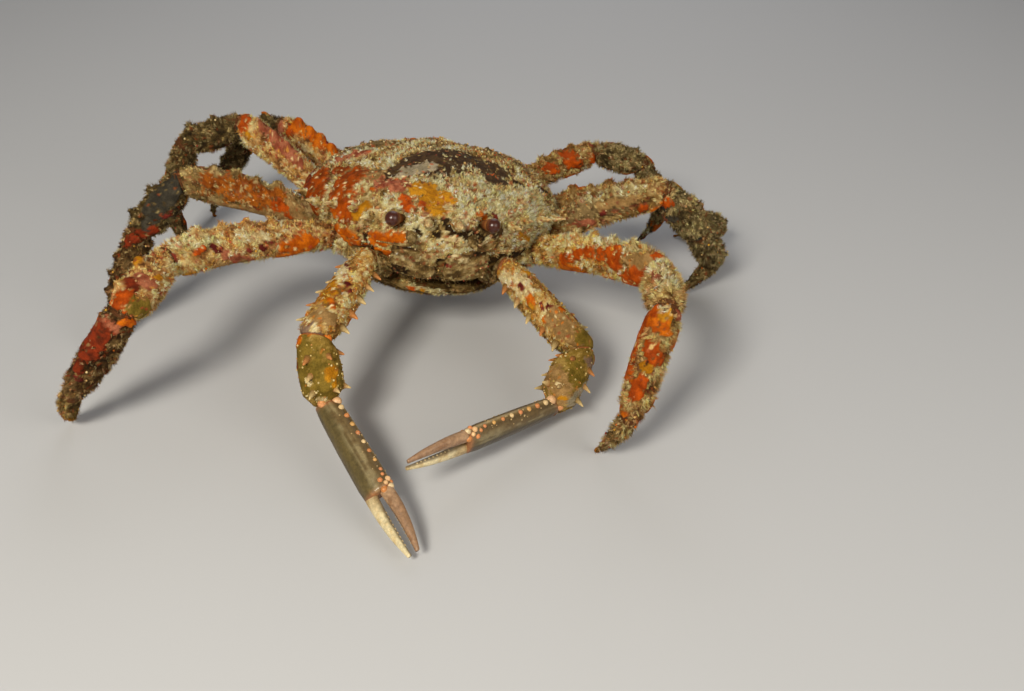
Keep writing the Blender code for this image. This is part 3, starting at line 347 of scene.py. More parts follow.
# Where each growth, and each patch of painted shade or sheen, shows in the photograph: name, one end and the
# other in pixels, half width in metres.
PATCHES = {
    "carapace": (
        ("felt", (330, 152), (420, 140), 0.0150), ("felt", (470, 146), (520, 160), 0.0120),
        ("shag", (455, 185), (540, 215), 0.0170), ("shag", (470, 205), (525, 235), 0.0110),
        ("shag", (386, 178), (396, 152), 0.0040), ("shag", (398, 150), (428, 141), 0.0040),
        ("pink", (340, 160), (364, 152), 0.0036), ("sand", (350, 170), (380, 176), 0.0060),
        ("ember", (309, 177), (312, 205), 0.0060), ("ember", (320, 174), (318, 196), 0.0052),
        ("ember", (349, 178), (343, 206), 0.0082), ("ember", (338, 170), (346, 170), 0.0026),
        ("pink", (386, 182), (400, 184), 0.0056), ("amber", (424, 188), (440, 206), 0.0070),
        ("amber", (446, 196), (452, 200), 0.0030), ("red", (405, 198), (407, 208), 0.0024),
        ("amber", (356, 213), (364, 207), 0.0034), ("orange", (334, 214), (342, 218), 0.0022),
        ("maroon", (394, 218), (394, 222), 0.0018), ("maroon", (377, 189), (377, 190), 0.0014),
        ("umber", (398, 168), (432, 157), 0.0080), ("umber", (432, 158), (478, 160), 0.0130),
        # The dark arc is the bare shell's own umber; its bluish grey patch is a painted sheen.
        ("umber", (478, 160), (497, 178), 0.0070), ("painted_sheen", (404, 172), (428, 165), 0.0046),
        # The shade patches are painted shade in notches, hollows and under the front margin.
        ("shade", (508, 179), (522, 183), 0.0026), ("shade", (542, 188), (552, 195), 0.0026),
        ("orange", (480, 213), (484, 218), 0.0022), ("maroon", (492, 212), (497, 218), 0.0026),
        ("shade", (447, 220), (452, 232), 0.0026), ("shade", (436, 234), (446, 239), 0.0022),
        ("shade", (458, 232), (464, 236), 0.0028), ("shade", (470, 235), (486, 238), 0.0026),
        ("shade", (416, 230), (420, 236), 0.0015), ("umber", (490, 231), (500, 233), 0.0036),
        ("orange", (333, 232), (354, 236), 0.0034), ("orange", (372, 240), (404, 238), 0.0040),
        ("shade", (364, 236), (367, 244), 0.0018), ("amber", (545, 249), (548, 249), 0.0022),
        ("orange", (372, 188), (373, 189), 0.0014), ("ivory", (448, 206), (452, 208), 0.0022),
        ("ivory", (426, 214), (432, 224), 0.0026), ("ivory", (462, 216), (468, 226), 0.0028),
        ("ivory", (444, 238), (452, 240), 0.0018), ("ivory", (508, 232), (510, 240), 0.0016),
        ("amber", (520, 236), (528, 240), 0.0020), ("ivory", (462, 243), (468, 246), 0.0018),
        ("red", (421, 203), (424, 206), 0.0016), ("scarlet", (304, 168), (308, 186), 0.0030),
    ),
    "thorax": (
        ("orange", (333, 236), (356, 238), 0.0036), ("orange", (370, 242), (408, 240), 0.0042),
        # The shade patches are painted shade under the front margin and in the gap between the mouth plates
        # and the apron.
        ("shade", (362, 246), (430, 246), 0.0026), ("shade", (430, 247), (500, 252), 0.0022),
        ("shade", (400, 276), (496, 280), 0.0080), ("shade", (372, 262), (384, 282), 0.0060),
        ("amber", (538, 250), (552, 248), 0.0022), ("sand", (504, 250), (540, 262), 0.0060),
        ("shade", (492, 262), (560, 270), 0.0036),
    ),
    "maxilliped_r": (
        ("maroon", (410, 258), (413, 262), 0.0014), ("shade", (384, 266), (404, 272), 0.0030),
        ("shade", (398, 246), (434, 244), 0.0018), ("ivory", (396, 254), (404, 258), 0.0012),
    ),
    "maxilliped_l": (
        ("pink", (444, 249), (450, 252), 0.0026), ("maroon", (446, 266), (450, 267), 0.0018),
        ("maroon", (462, 248), (464, 250), 0.0012), ("shade", (438, 243), (484, 254), 0.0016),
        ("shade", (436, 246), (436, 270), 0.0014), ("ivory", (454, 256), (466, 262), 0.0013),
    ),
    "abdomen": (
        ("shag", (402, 284), (440, 292), 0.0022), ("red", (408, 288), (414, 289), 0.0012),
        ("amber", (420, 290), (424, 291), 0.0010), ("shag", (430, 292), (480, 296), 0.0024),
    ),
    "leg1_l_merus": (
        ("orange", (566, 268), (576, 284), 0.0058), ("red", (564, 258), (590, 252), 0.0028),
        ("red", (605, 250), (616, 260), 0.0050), ("red", (630, 282), (646, 270), 0.0056),
        ("red", (646, 266), (658, 264), 0.0034), ("sand", (632, 257), (642, 259), 0.0044),
        ("shag", (601, 240), (624, 240), 0.0044), ("shag", (628, 244), (648, 246), 0.0040),
        ("amber", (562, 274), (563, 278), 0.0020),
    ),
    "leg1_l_carpus": (("shag", (656, 262), (668, 276), 0.0060), ("pink", (652, 272), (656, 276), 0.0026)),
    "leg1_l_propodus": (
        ("red", (657, 298), (640, 326), 0.0050), ("amber", (667, 310), (666, 324), 0.0034),
        ("orange", (655, 325), (668, 330), 0.0034), ("red", (636, 340), (628, 372), 0.0036),
        ("red", (652, 350), (656, 358), 0.0042), ("amber", (645, 366), (648, 370), 0.0022),
        ("red", (640, 382), (637, 394), 0.0040), ("orange", (628, 376), (630, 378), 0.0020),
        ("orange", (618, 411), (624, 414), 0.0016),
    ),
    "leg1_l_dactyl": (("amber", (582, 443), (586, 443), 0.0026),),
    "leg2_l_merus": (
        ("felt", (575, 214), (620, 205), 0.0060), ("sand", (600, 206), (636, 199), 0.0030),
        ("shag", (585, 197), (640, 188), 0.0036), ("maroon", (602, 214), (604, 214), 0.0022),
        ("pink", (577, 224), (592, 223), 0.0026), ("red", (641, 209), (645, 208), 0.0022),
    ),
    "leg2_l_carpus": (
        # The dark grey patches here are painted shade under the knee.
        ("slate_and_shade", (654, 202), (662, 206), 0.0036), ("red", (657, 193), (668, 203), 0.0028),
        ("slate_and_shade", (660, 216), (672, 220), 0.0034), ("pink", (652, 226), (655, 228), 0.0024),
    ),
    "leg4_l_merus": (
        ("red", (564, 155), (572, 157), 0.0031), ("red", (548, 168), (554, 171), 0.0031),
        ("red", (570, 164), (580, 163), 0.0031), ("ivory", (584, 168), (585, 168), 0.0018),
        ("red", (594, 158), (599, 160), 0.0028), ("maroon", (590, 143), (592, 144), 0.0026),
    ),
    "leg1_r_merus": (
        ("orange", (293, 251), (307, 243), 0.0060), ("orange", (282, 256), (293, 252), 0.0028),
        ("shag", (176, 246), (212, 240), 0.0046),
        ("maroon", (203, 247), (206, 248), 0.0018), ("maroon", (212, 246), (220, 250), 0.0024),
        ("maroon", (167, 260), (173, 264), 0.0028), ("amber", (170, 268), (173, 268), 0.0020),
        ("maroon", (262, 246), (266, 250), 0.0020), ("maroon", (269, 241), (271, 243), 0.0018),
        ("maroon", (247, 250), (250, 252), 0.0016), ("amber", (184, 275), (192, 274), 0.0020),
        ("orange", (322, 255), (325, 257), 0.0020), ("red", (198, 253), (203, 248), 0.0016),
        ("pink", (228, 256), (250, 262), 0.0034), ("ivory", (240, 236), (266, 236), 0.0026),
        ("ivory", (300, 266), (316, 260), 0.0024), ("sand", (222, 272), (240, 270), 0.0040),
    ),
    "leg1_r_carpus": (
        ("amber", (128, 254), (133, 256), 0.0036), ("scarlet", (128, 280), (132, 286), 0.0040),
        ("red", (122, 296), (128, 300), 0.0038), ("maroon", (122, 268), (126, 270), 0.0030),
        ("red", (112, 304), (116, 308), 0.0036), ("moss", (136, 308), (146, 312), 0.0046),
        ("pink", (140, 276), (150, 284), 0.0036), ("amber", (156, 277), (160, 277), 0.0020),
    ),
    "leg1_r_propodus": (
        ("scarlet", (102, 328), (86, 352), 0.0062), ("scarlet", (84, 352), (74, 372), 0.0036),
        ("orange", (126, 322), (134, 321), 0.0026), ("pink", (104, 318), (116, 330), 0.0026),
        ("maroon", (76, 378), (79, 380), 0.0026),
    ),
    "leg1_r_dactyl": (("amber", (76, 424), (78, 426), 0.0026),),
    "leg2_r_merus": (
        ("bristle", (210, 182), (240, 192), 0.0066), ("bristle", (240, 192), (284, 206), 0.0072),
        ("red", (278, 206), (286, 216), 0.0036), ("maroon", (252, 208), (257, 212), 0.0024),
        ("sand", (225, 220), (300, 226), 0.0060), ("sand", (292, 200), (300, 220), 0.0040),
    ),
    "leg2_r_carpus": (
        ("slate_and_shade", (161, 206), (176, 188), 0.0070), ("slate_and_shade", (150, 208), (156, 202), 0.0050),
        ("scarlet", (139, 236), (152, 230), 0.0036), ("slate_and_shade", (146, 224), (160, 216), 0.0036),
        ("maroon", (166, 216), (170, 214), 0.0024),
    ),
    "leg2_r_propodus": (("scarlet", (128, 240), (136, 238), 0.0034),),
    "leg3_r_merus": (
        ("pink", (264, 126), (277, 138), 0.0050), ("pink", (280, 146), (292, 154), 0.0044),
        ("red", (247, 117), (243, 126), 0.0030), ("ivory", (303, 148), (308, 150), 0.0024),
        ("maroon", (217, 128), (220, 134), 0.0030), ("pink", (292, 160), (300, 164), 0.0030),
        ("slate_and_shade", (231, 130), (236, 142), 0.0036), ("amber", (247, 135), (249, 137), 0.0022),
    ),
    "leg4_r_merus": (
        ("orange", (300, 127), (316, 134), 0.0058), ("orange", (318, 136), (336, 146), 0.0058),
        ("maroon", (327, 143), (329, 144), 0.0020), ("pink", (264, 126), (277, 138), 0.0060),
        ("pink", (280, 146), (292, 154), 0.0050), ("ivory", (303, 148), (308, 150), 0.0024),
        ("red", (288, 128), (290, 134), 0.0022), ("pink", (292, 160), (300, 164), 0.0030),
    ),
    "leg4_r_carpus": (
        ("scarlet", (246, 118), (242, 125), 0.0032), ("amber", (247, 135), (249, 137), 0.0022),
        ("maroon", (216, 127), (218, 132), 0.0024), ("slate_and_shade", (231, 130), (236, 142), 0.0042),
    ),
    "claw_r_merus": (
        ("nubs", (318, 272), (322, 284), 0.0036), ("nubs", (311, 284), (318, 292), 0.0036),
        ("nubs", (306, 296), (312, 302), 0.0032), ("nubs", (320, 296), (326, 300), 0.0026),
        ("nubs", (331, 280), (333, 292), 0.0030), ("orange", (331, 300), (333, 306), 0.0016),
        ("ivory", (338, 262), (342, 274), 0.0034), ("ivory", (326, 264), (330, 268), 0.0020),
        ("maroon", (346, 264), (349, 268), 0.0017), ("maroon", (348, 284), (351, 292), 0.0022),
        ("plum", (300, 338), (310, 336), 0.0050), ("ivory", (314, 326), (317, 329), 0.0022),
        ("orange", (296, 306), (299, 308), 0.0014), ("sand", (318, 312), (332, 318), 0.0050),
    ),
    "claw_r_carpus": (
        ("moss", (300, 360), (320, 372), 0.0110), ("amber", (330, 372), (333, 384), 0.0028),
        ("moss", (304, 384), (318, 392), 0.0080), ("ivory", (308, 381), (310, 383), 0.0010),
        ("scarlet", (293, 363), (295, 366), 0.0012), ("ivory", (320, 398), (326, 402), 0.0022),
    ),
    "claw_l_merus": (
        ("ivory", (500, 280), (520, 280), 0.0044), ("amber", (498, 274), (528, 272), 0.0016),
        ("ivory", (520, 292), (530, 290), 0.0034), ("maroon", (520, 285), (522, 289), 0.0022),
        ("orange", (529, 297), (532, 303), 0.0022), ("maroon", (541, 303), (543, 309), 0.0014),
        ("maroon", (548, 306), (556, 311), 0.0024), ("orange", (561, 308), (564, 310), 0.0014),
        ("orange", (544, 318), (551, 320), 0.0018), ("amber", (526, 315), (533, 318), 0.0014),
        ("maroon", (576, 312), (578, 317), 0.0016), ("sand", (556, 322), (574, 336), 0.0070),
        ("moss", (584, 336), (596, 344), 0.0050), ("amber", (530, 305), (532, 308), 0.0012),
    ),
    "claw_l_carpus": (
        ("sand", (552, 374), (570, 396), 0.0080), ("moss", (576, 368), (582, 384), 0.0050),
        # The bluish grey patch is a painted sheen.
        ("painted_sheen", (574, 402), (586, 394), 0.0044), ("plum", (590, 362), (596, 372), 0.0030),
        ("ivory", (557, 383), (559, 385), 0.0009), ("amber", (560, 397), (566, 399), 0.0011),
    ),
}
# The turf of each piece, where it isn't its limb's own, and how much of it grows there.
PIECE_TURF = {
    "carapace": ("pale", 0.9), "spines": ("pale", 0.9), "thorax": ("dusky", 0.8), "abdomen": ("dusky", 0.9),
    "maxilliped_l": ("khaki", 0.7), "maxilliped_r": ("khaki", 0.7),
    "antenna_l": ("khaki", 0.6), "antenna_r": ("khaki", 0.6),
    "claw_l_coxa": ("khaki", 0.9), "claw_l_merus": ("cream", 0.85), "claw_l_carpus": ("smooth", 0.12),
    "claw_r_coxa": ("khaki", 0.9), "claw_r_merus": ("cream", 0.8), "claw_r_carpus": ("smooth", 0.12),
    "leg1_l_merus": ("cream", 1.1), "leg1_l_carpus": ("sandy", 1.2),
    "leg1_l_propodus": ("sandy", 1.15), "leg1_l_dactyl": ("khaki", 1.1),
    "leg1_r_merus": ("rosy", 1.0), "leg1_r_carpus": ("rosy", 0.9),
    "leg1_r_propodus": ("brown", 0.9), "leg1_r_dactyl": ("dusky", 0.9),
    "leg2_l_merus": ("sandy", 0.9), "leg2_l_carpus": ("mossy", 1.0),
    "leg2_l_propodus": ("mossy", 1.0), "leg2_l_dactyl": ("olive", 0.8),
    "leg2_r_merus": ("khaki", 0.7), "leg2_r_carpus": ("olive", 0.9),
    "leg2_r_propodus": ("brown", 0.9), "leg2_r_dactyl": ("brown", 0.8),
    "leg3_l_merus": ("sandy", 0.9), "leg3_r_merus": ("rosy", 0.9), "leg3_r_carpus": ("olive", 1.0),
    "leg3_r_propodus": ("olive", 1.0), "leg3_r_dactyl": ("olive", 0.8),
    "leg4_l_merus": ("sandy", 1.0), "leg4_l_carpus": ("mossy", 1.1), "leg4_l_propodus": ("mossy", 1.0),
    "leg4_r_merus": ("rosy", 0.9), "leg4_r_carpus": ("olive", 1.0),
    "leg4_r_propodus": ("olive", 1.0), "leg4_r_dactyl": ("olive", 0.8),
}
LIMB_TURF = {"leg1": ("pale", 1.0), "leg2": ("sandy", 1.0), "leg3": ("mossy", 1.0), "leg4": ("mossy", 1.0),
             "claw": ("cream", 0.5)}
HIDDEN_GROWTHS = ("orange", "red", "pink", "maroon", "amber", "ivory", "slate_and_shade", "shag")
HIDDEN_REACH = (0.0016, 0.0052)
HIDDEN_LENGTH = 0.003
HIDDEN_GROWTH_GAP = 0.011
NO_HIDDEN_GROWTHS = ("abdomen", "maxilliped_l", "maxilliped_r", "antenna_l", "antenna_r", "spines")

# The unevenness of what grows: how large its lumps are, and how high.
ROUGH_SIZE = 0.0060
FINE_SIZE = 0.0022
ROUGH_RISE = 0.00030
FINE_RISE = 0.00025
PATCH_TONE_SIZE = 0.0028
LEAST_LOBE_SIZE = 0.0018
PATCH_EDGE_SIZE = 0.0012
OVERGROWN_SIZE = 0.0012
OVERGROWN_SHARE = 0.94
SMOOTH_BARENESS = 0.35
# How dark the painted shade is on the skin beneath standing turf.
UNDER_TURF_SHADE = 0.50
FLECK_SIZE = 0.0015
FLECK_STRENGTH = 0.75
# Where each kind of fleck starts among the random numbers of the grains, and how many it takes.
FLECK_START = 0.09
FLECK_SHARE = 0.075
MOTTLE_SIZE = 0.0011
MOTTLE_STRENGTH = 0.35

# Turf: how close the tufts stand, how many blades a tuft has, and how these stand.
MM2_PER_M2 = 1e6
TUFTS_PER_MM2 = 0.46
TUFT_SPREAD = 0.00024
TUFT_LEAN = 0.26
TUFT_HEIGHTS = (0.35, 1.35)
TUFT_HEIGHT_SIZE = 0.005
CLUMP_SIZE = 0.0034
CLUMP_LEAN = 0.65
BLADES = 8
BLADE_LENGTH = 0.0022
BLADE_LENGTHS = (0.50, 1.30)
BLADE_RADIUS = 0.00017
BLADE_GIRTHS = (0.7, 1.35)
BLADE_SINK = 0.0004
BLADE_LEAN = 0.22
LOOSE_BLADES = 0.3
LOOSE_BLADE_LEAN = 0.65
# Painted shade at the blades' roots and a painted highlight at their tips.
BLADE_ROOT_SHADE = 0.50
BLADE_TIP_HIGHLIGHT = 1.70
PALE_TUFTS = 0.16
PALE_TUFT_TONE = (188, 168, 122)
UV_PATCH = 0.0015

# Crusted grains on the shell: how many, their tones and, where they differ, their radii and least turf.
GRAIN_RADII = (0.0003, 0.0007)
GRAIN_LIFTS = (0.0002, 0.0012)
CARAPACE_GRAINS = (300, ((224, 202, 150), (214, 186, 126), (206, 168, 104), (168, 96, 50), (196, 152, 80)))
THORAX_GRAINS = (90, ((206, 168, 104), (190, 96, 30), (150, 60, 44), (212, 160, 60)))
MOUTH_GRAINS = (20, ((200, 160, 104), (160, 80, 60), (214, 190, 142)), (0.0003, 0.0006))
MERUS_GRAINS = (30, ((222, 194, 138), (200, 134, 66), (176, 96, 40), (210, 170, 80)))
CARPUS_GRAINS = (130, ((206, 182, 118), (176, 150, 84), (196, 140, 78), (216, 196, 142)),
                 (0.00026, 0.00062), 0.0)
LEG_GRAIN_TONES = ((222, 196, 142), (206, 168, 104), (190, 96, 30), (140, 56, 44), (212, 160, 60))
LEG_GRAIN_GAP = 0.0030

# Tones of the bare pieces.
SPINE_TIP_TONE = (214, 184, 130)
DACTYL_TIP_TONE = (150, 92, 36)
EYE_TONE = (66, 28, 16)
EYE_RIM_TONE = (96, 50, 26)
ANTENNA_SPINE_TONES = ((110, 80, 42), (190, 160, 110))
LEG_JOINT_TONE = (84, 50, 26)
ARM_JOINT_TONE = (140, 84, 48)
THORN_ROOT_TONES = ((112, 84, 40), (142, 94, 46))
THORN_TIP_TONES = ((206, 134, 78), (222, 196, 138))
ELBOW_KNOBS = ((206, 116, 40), 0.0026)
WRIST_KNOBS = ((214, 150, 100), 0.0024)
# The hand's tones: the pale one is partly painted sheen, and the last one is painted sheen.
HAND_TONES = {"middle": (104, 84, 50), "dark": (62, 48, 26), "pale": (154, 134, 94),
              "blush": (170, 112, 72), "green": (88, 78, 44), "sheen_belt": (152, 140, 104)}
PALM_BEAD_TONES = ((218, 188, 136), (196, 126, 70), (204, 156, 88), (200, 128, 78))
PALM_GRAIN_TONE = (176, 150, 104)
HINGE_KNOB_TONES = ((206, 132, 78), (224, 180, 128))
WRIST_KNOB_TONE = (222, 176, 128)
# The fixed and the moving finger: root, tip and mottle.
FIXED_FINGER_TONES = ((152, 122, 74), (216, 200, 158), (196, 166, 108))
MOVING_FINGER_TONES = ((172, 138, 104), (150, 116, 86), (122, 84, 52))
BITING_EDGE_TONE = (64, 42, 26)
TOOTH_TONE = (206, 182, 132)
FINGER_SIDE_KNOB_TONE = (200, 130, 70)
FINGER_TOP_KNOB_TONE = (214, 190, 146)

# The studio: the floor, the lamps with their place, size, power and tone, and the light of the room.
FLOOR_REACH = 12.0
FLOOR_HEIGHT = -0.0002
FLOOR_TONE = (0.54, 0.55, 0.57, 1.0)
FLOOR_ROUGHNESS = 0.85
LAMP_AIM = Vector((0.0, 0.0, 0.05))
LAMPS = (
    ("key", (-0.30, -0.80, 0.80), 0.26, 11.0, (1.0, 0.93, 0.80)),
    ("fill", (0.70, -0.60, 0.55), 0.60, 3.4, (1.0, 0.94, 0.84)),
    ("back", (0.10, 0.90, 0.80), 0.80, 2.4, (0.97, 0.97, 1.0)),
)
ROOM_TONE = (0.82, 0.80, 0.77, 1.0)
ROOM_LIGHT = 0.20


def linear(tone):
    """A 0 to 255 screen tone as linear light."""
    v = np.asarray(tone, dtype=float) / 255
    return np.where(v <= 0.04045, v / 12.92, ((v + 0.055) / 1.055) ** 2.4)


def tinted(tone, bare=0.3):
    """A screen tone as the four numbers that a surface stores."""
    return np.array((*linear(tone), bare))


def darkened(colours, shade):
    """The colours times a shade, and how bare they are left as it is."""
    return colours * np.stack([shade, shade, shade, np.ones_like(shade)], axis=-1)


def unit(v):
    return v / np.maximum(np.linalg.norm(v, axis=-1, keepdims=True), 1e-12)


def round_angles(count):
    return np.arange(count) * 2 * math.pi / count


def curve_between(a, b, c, d, t):
    """A smooth curve from b to c, coming from a and going on to d."""
    return 0.5 * (2 * b + (c - a) * t + (2 * a - 5 * b + 4 * c - d) * t ** 2
                  + (3 * b - a - 3 * c + d) * t ** 3)


def step(low, high, value):
    """0 below low, 1 above high, smooth between; low may be the higher one."""
    t = np.clip((value - low) / (high - low), 0.0, 1.0)
    return t * t * (3 - 2 * t)


def scatter(cell, seed):
    """An even random number from 0 to 1 for each lattice cell."""
    mix = ((cell[..., 0] * 73856093) ^ (cell[..., 1] * 19349663) ^ (cell[..., 2] * 83492791)
           ^ (seed * 668265263))
    mix = mix & 0xFFFFFFFF
    mix = ((mix ^ (mix >> 15)) * 1103515245 + 12345) & 0x7FFFFFFF
    mix = ((mix ^ (mix >> 13)) * 1664525 + 1013904223) & 0x7FFFFFFF
    return (mix ^ (mix >> 16)) / 0x7FFFFFFF


def grain(points, size, seed=0):
    """Smooth noise from -1 to 1, with lumps about this size across."""
    q = points / size
    base = np.floor(q).astype(np.int64)
    part = q - base
    part = part * part * (3 - 2 * part)
    total = np.zeros(points.shape[:-1])
    for corner in range(8):
        move = np.array([(corner >> axis) & 1 for axis in range(3)])
        weight = np.prod(np.where(move == 1, part, 1 - part), axis=-1)
        total += weight * (scatter(base + move, seed) * 2 - 1)
    return total


def layered(points, size, seed=0):
    return (grain(points, size, seed) + 0.5 * grain(points, size / 2.1, seed + 1)
            + 0.25 * grain(points, size / 4.3, seed + 2)) / 1.35


def grains(points, size, seed=0):
    """Rounded grains set close: the rise of each, 1 at its middle, and an even random number for it."""
    q = points / size
    base = np.floor(q).astype(np.int64)
    nearest = np.full(points.shape[:-1], 9.0)
    number = np.zeros(points.shape[:-1])
    for k in range(27):
        cell = base + np.array((k % 3 - 1, k // 3 % 3 - 1, k // 9 - 1))
        middle = cell + np.stack([scatter(cell, seed + axis) for axis in range(3)], axis=-1)
        away = np.linalg.norm(q - middle, axis=-1)
        closer = away < nearest
        nearest = np.where(closer, away, nearest)
        number = np.where(closer, scatter(cell, seed + 7), number)
    return np.clip(1 - nearest / 0.75, 0, 1) ** 0.7, number


def camera_axes():
    down, roll = math.radians(CAMERA_DOWN), math.radians(CAMERA_ROLL)
    forward = Vector((0, math.cos(down), -math.sin(down)))
    level_up = Vector((0, math.sin(down), math.cos(down)))
    right = math.cos(roll) * Vector((1, 0, 0)) + math.sin(roll) * level_up
    up = -math.sin(roll) * Vector((1, 0, 0)) + math.cos(roll) * level_up
    return right, up, forward


def pixels_of(points):
    """Where points fall in the photograph."""
    right, up, forward = (np.array(axis) for axis in camera_axes())
    rel = points - np.array(CAMERA_AT)
    scale = LENS_MM / SENSOR_MM * PICTURE[0] / (rel @ forward)
    return np.stack([PICTURE[0] / 2 + rel @ right * scale, PICTURE[1] / 2 - rel @ up * scale], axis=-1)


def facing(points, normals):
    """How squarely a surface faces the camera, from -1 to 1."""
    return np.sum(unit(np.array(CAMERA_AT) - points) * normals, axis=-1)


def seen_point(points, normals, pixel):
    """The point of a surface that shows at this pixel."""
    away = np.linalg.norm(pixels_of(points) - np.array(pixel), axis=-1)
    away = np.where(facing(points, normals) > 0.1, away, away + 1000)
    return points.reshape(-1, 3)[np.argmin(away)]


def patch_share(points, start, end, reach, seed):
    """1 inside a growth with an uneven edge, 0 outside it."""
    line = end - start
    along = np.clip(((points - start) @ line) / max(line @ line, 1e-9), 0, 1)
    away = np.linalg.norm(points - start - along[..., None] * line, axis=-1) / reach
    away = away + 0.45 * grain(points, max(reach * 0.8, LEAST_LOBE_SIZE), seed)
    away = away + 0.34 * grain(points, PATCH_EDGE_SIZE, seed + 5)
    return step(1.08, 0.92, away)


def seed_of(name):
    return sum(ord(letter) * (i + 3) for i, letter in enumerate(name)) % 9973


def growth(name, points, normals):
    """Colour and bareness, share of turf and rise of what grows on a piece, with its painted shade and sheen,
    at each of its points.
    """
    limb = name.split("_")[0]
    turf, amount = PIECE_TURF.get(name, LIMB_TURF.get(limb, ("pale", 1.0)))
    dark, middle, light, flecks = (linear(tone) for tone in TURF[turf])
    seed = seed_of(name)
    rough = layered(points, ROUGH_SIZE, seed)
    fine = layered(points, FINE_SIZE, seed + 20)
    blend = (0.9 * rough + fine)[..., None]
    colour = middle + (light - middle) * step(0.05, 0.60, blend)
    colour = colour + (dark - colour) * step(-0.10, -0.65, blend) * 0.9
    bare = np.full(points.shape[:-1], SMOOTH_BARENESS if turf == "smooth" else 0.0)
    fuzz = np.full(points.shape[:-1], amount)
    rise = ROUGH_RISE * rough + FINE_RISE * fine
    overgrown = grains(points, OVERGROWN_SIZE, seed + 40)[1] > OVERGROWN_SHARE
    spots = [(kind, seen_point(points, normals, a), seen_point(points, normals, b), reach)
             for kind, a, b, reach in PATCHES.get(name, ())]
    spots += hidden_spots(name, points, normals)
    # Some kinds are painted light: shade lays painted shade, and the bluish grey kind a painted sheen.
    for i, (kind, a, b, reach) in enumerate(spots):
        low, high, standing, bareness, lift, spread = GROWTHS[kind]
        share = patch_share(points, a, b, reach * spread, seed + 7 * i)
        share = share * (1 - 0.85 * overgrown)
        tone = step(-0.45, 0.45, layered(points, PATCH_TONE_SIZE, seed + 9 * i))[..., None]
        inside = linear(low) + (linear(high) - linear(low)) * tone
        colour = colour + (inside - colour) * share[..., None]
        bare = bare + (bareness - bare) * share
        fuzz = fuzz * (1 - share) + standing * max(amount, 0.5) * share
        rise = rise * (1 - 0.6 * share) + lift * share
    number = grains(points, FLECK_SIZE, seed + 60)[1]
    cover = np.clip(fuzz * 1.4, 0.10, 1.0)
    for k, fleck in enumerate(flecks):
        first = FLECK_START * k
        share = ((number > first) & (number < first + FLECK_SHARE * cover))[..., None]
        colour = np.where(share, colour * (1 - FLECK_STRENGTH) + fleck * FLECK_STRENGTH, colour)
    mottle = (grains(points, MOTTLE_SIZE, seed + 70)[1] - 0.5)[..., None]
    colour = colour * (1 + MOTTLE_STRENGTH * mottle * cover[..., None])
    return np.concatenate([np.clip(colour, 0.001, 1), bare[..., None]], axis=-1), fuzz, rise


def hidden_spots(name, points, normals):
    """A few seeded growths on the sides that the photograph doesn't show."""
    draw = np.random.default_rng(seed_of(name) + 5)
    flat, away = points.reshape(-1, 3), facing(points, normals).reshape(-1)
    places = flat[away < -0.15]
    if name in NO_HIDDEN_GROWTHS or len(places) == 0:
        return []
    extent = np.linalg.norm(flat.max(axis=0) - flat.min(axis=0))
    made = []
    for _ in range(int(2 + extent / HIDDEN_GROWTH_GAP)):
        start = places[draw.integers(len(places))]
        end = start + draw.normal(0, HIDDEN_LENGTH, 3)
        kind = HIDDEN_GROWTHS[draw.integers(len(HIDDEN_GROWTHS))]
        made.append((kind, start, end, draw.uniform(*HIDDEN_REACH)))
    return made


def normals_of(surface):
    """Outward normals of rings of points, each ring closed, running along the piece."""
    along = np.gradient(surface, axis=0)
    around = np.roll(surface, -1, axis=1) - np.roll(surface, 1, axis=1)
    return unit(np.cross(around, along))


def raised(rings, knobs, spread=1.12):
    """The rings with blunt knobs raised on them: each has a place, way out, height and radius."""
    moved = rings.copy()
    for spot, out, height, radius in knobs:
        rel = rings - spot
        along = rel @ out
        aside = np.linalg.norm(rel - along[..., None] * out, axis=-1)
        lift = height * step(radius * spread, radius * 0.30, aside) * (along > -radius)
        moved += out * lift[..., None]
    return moved


class Skin:
    """One closed surface of rings, with what grows on it."""

    def __init__(self, name, rings, depth=TURF_DEPTH, roughen=1.0):
        self.name = name
        normals = normals_of(rings)
        self.colours, self.fuzz, rise = growth(name, rings, normals)
        depth = depth * np.clip(self.fuzz, 0.25, 1.0)
        self.points = rings + normals * (rise * roughen - depth)[..., None]
        self.normals = normals_of(self.points)

    def under(self):
        """The skin's tones, with painted shade where turf stands on it."""
        return darkened(self.colours, 1 - UNDER_TURF_SHADE * np.clip(self.fuzz, 0, 1))


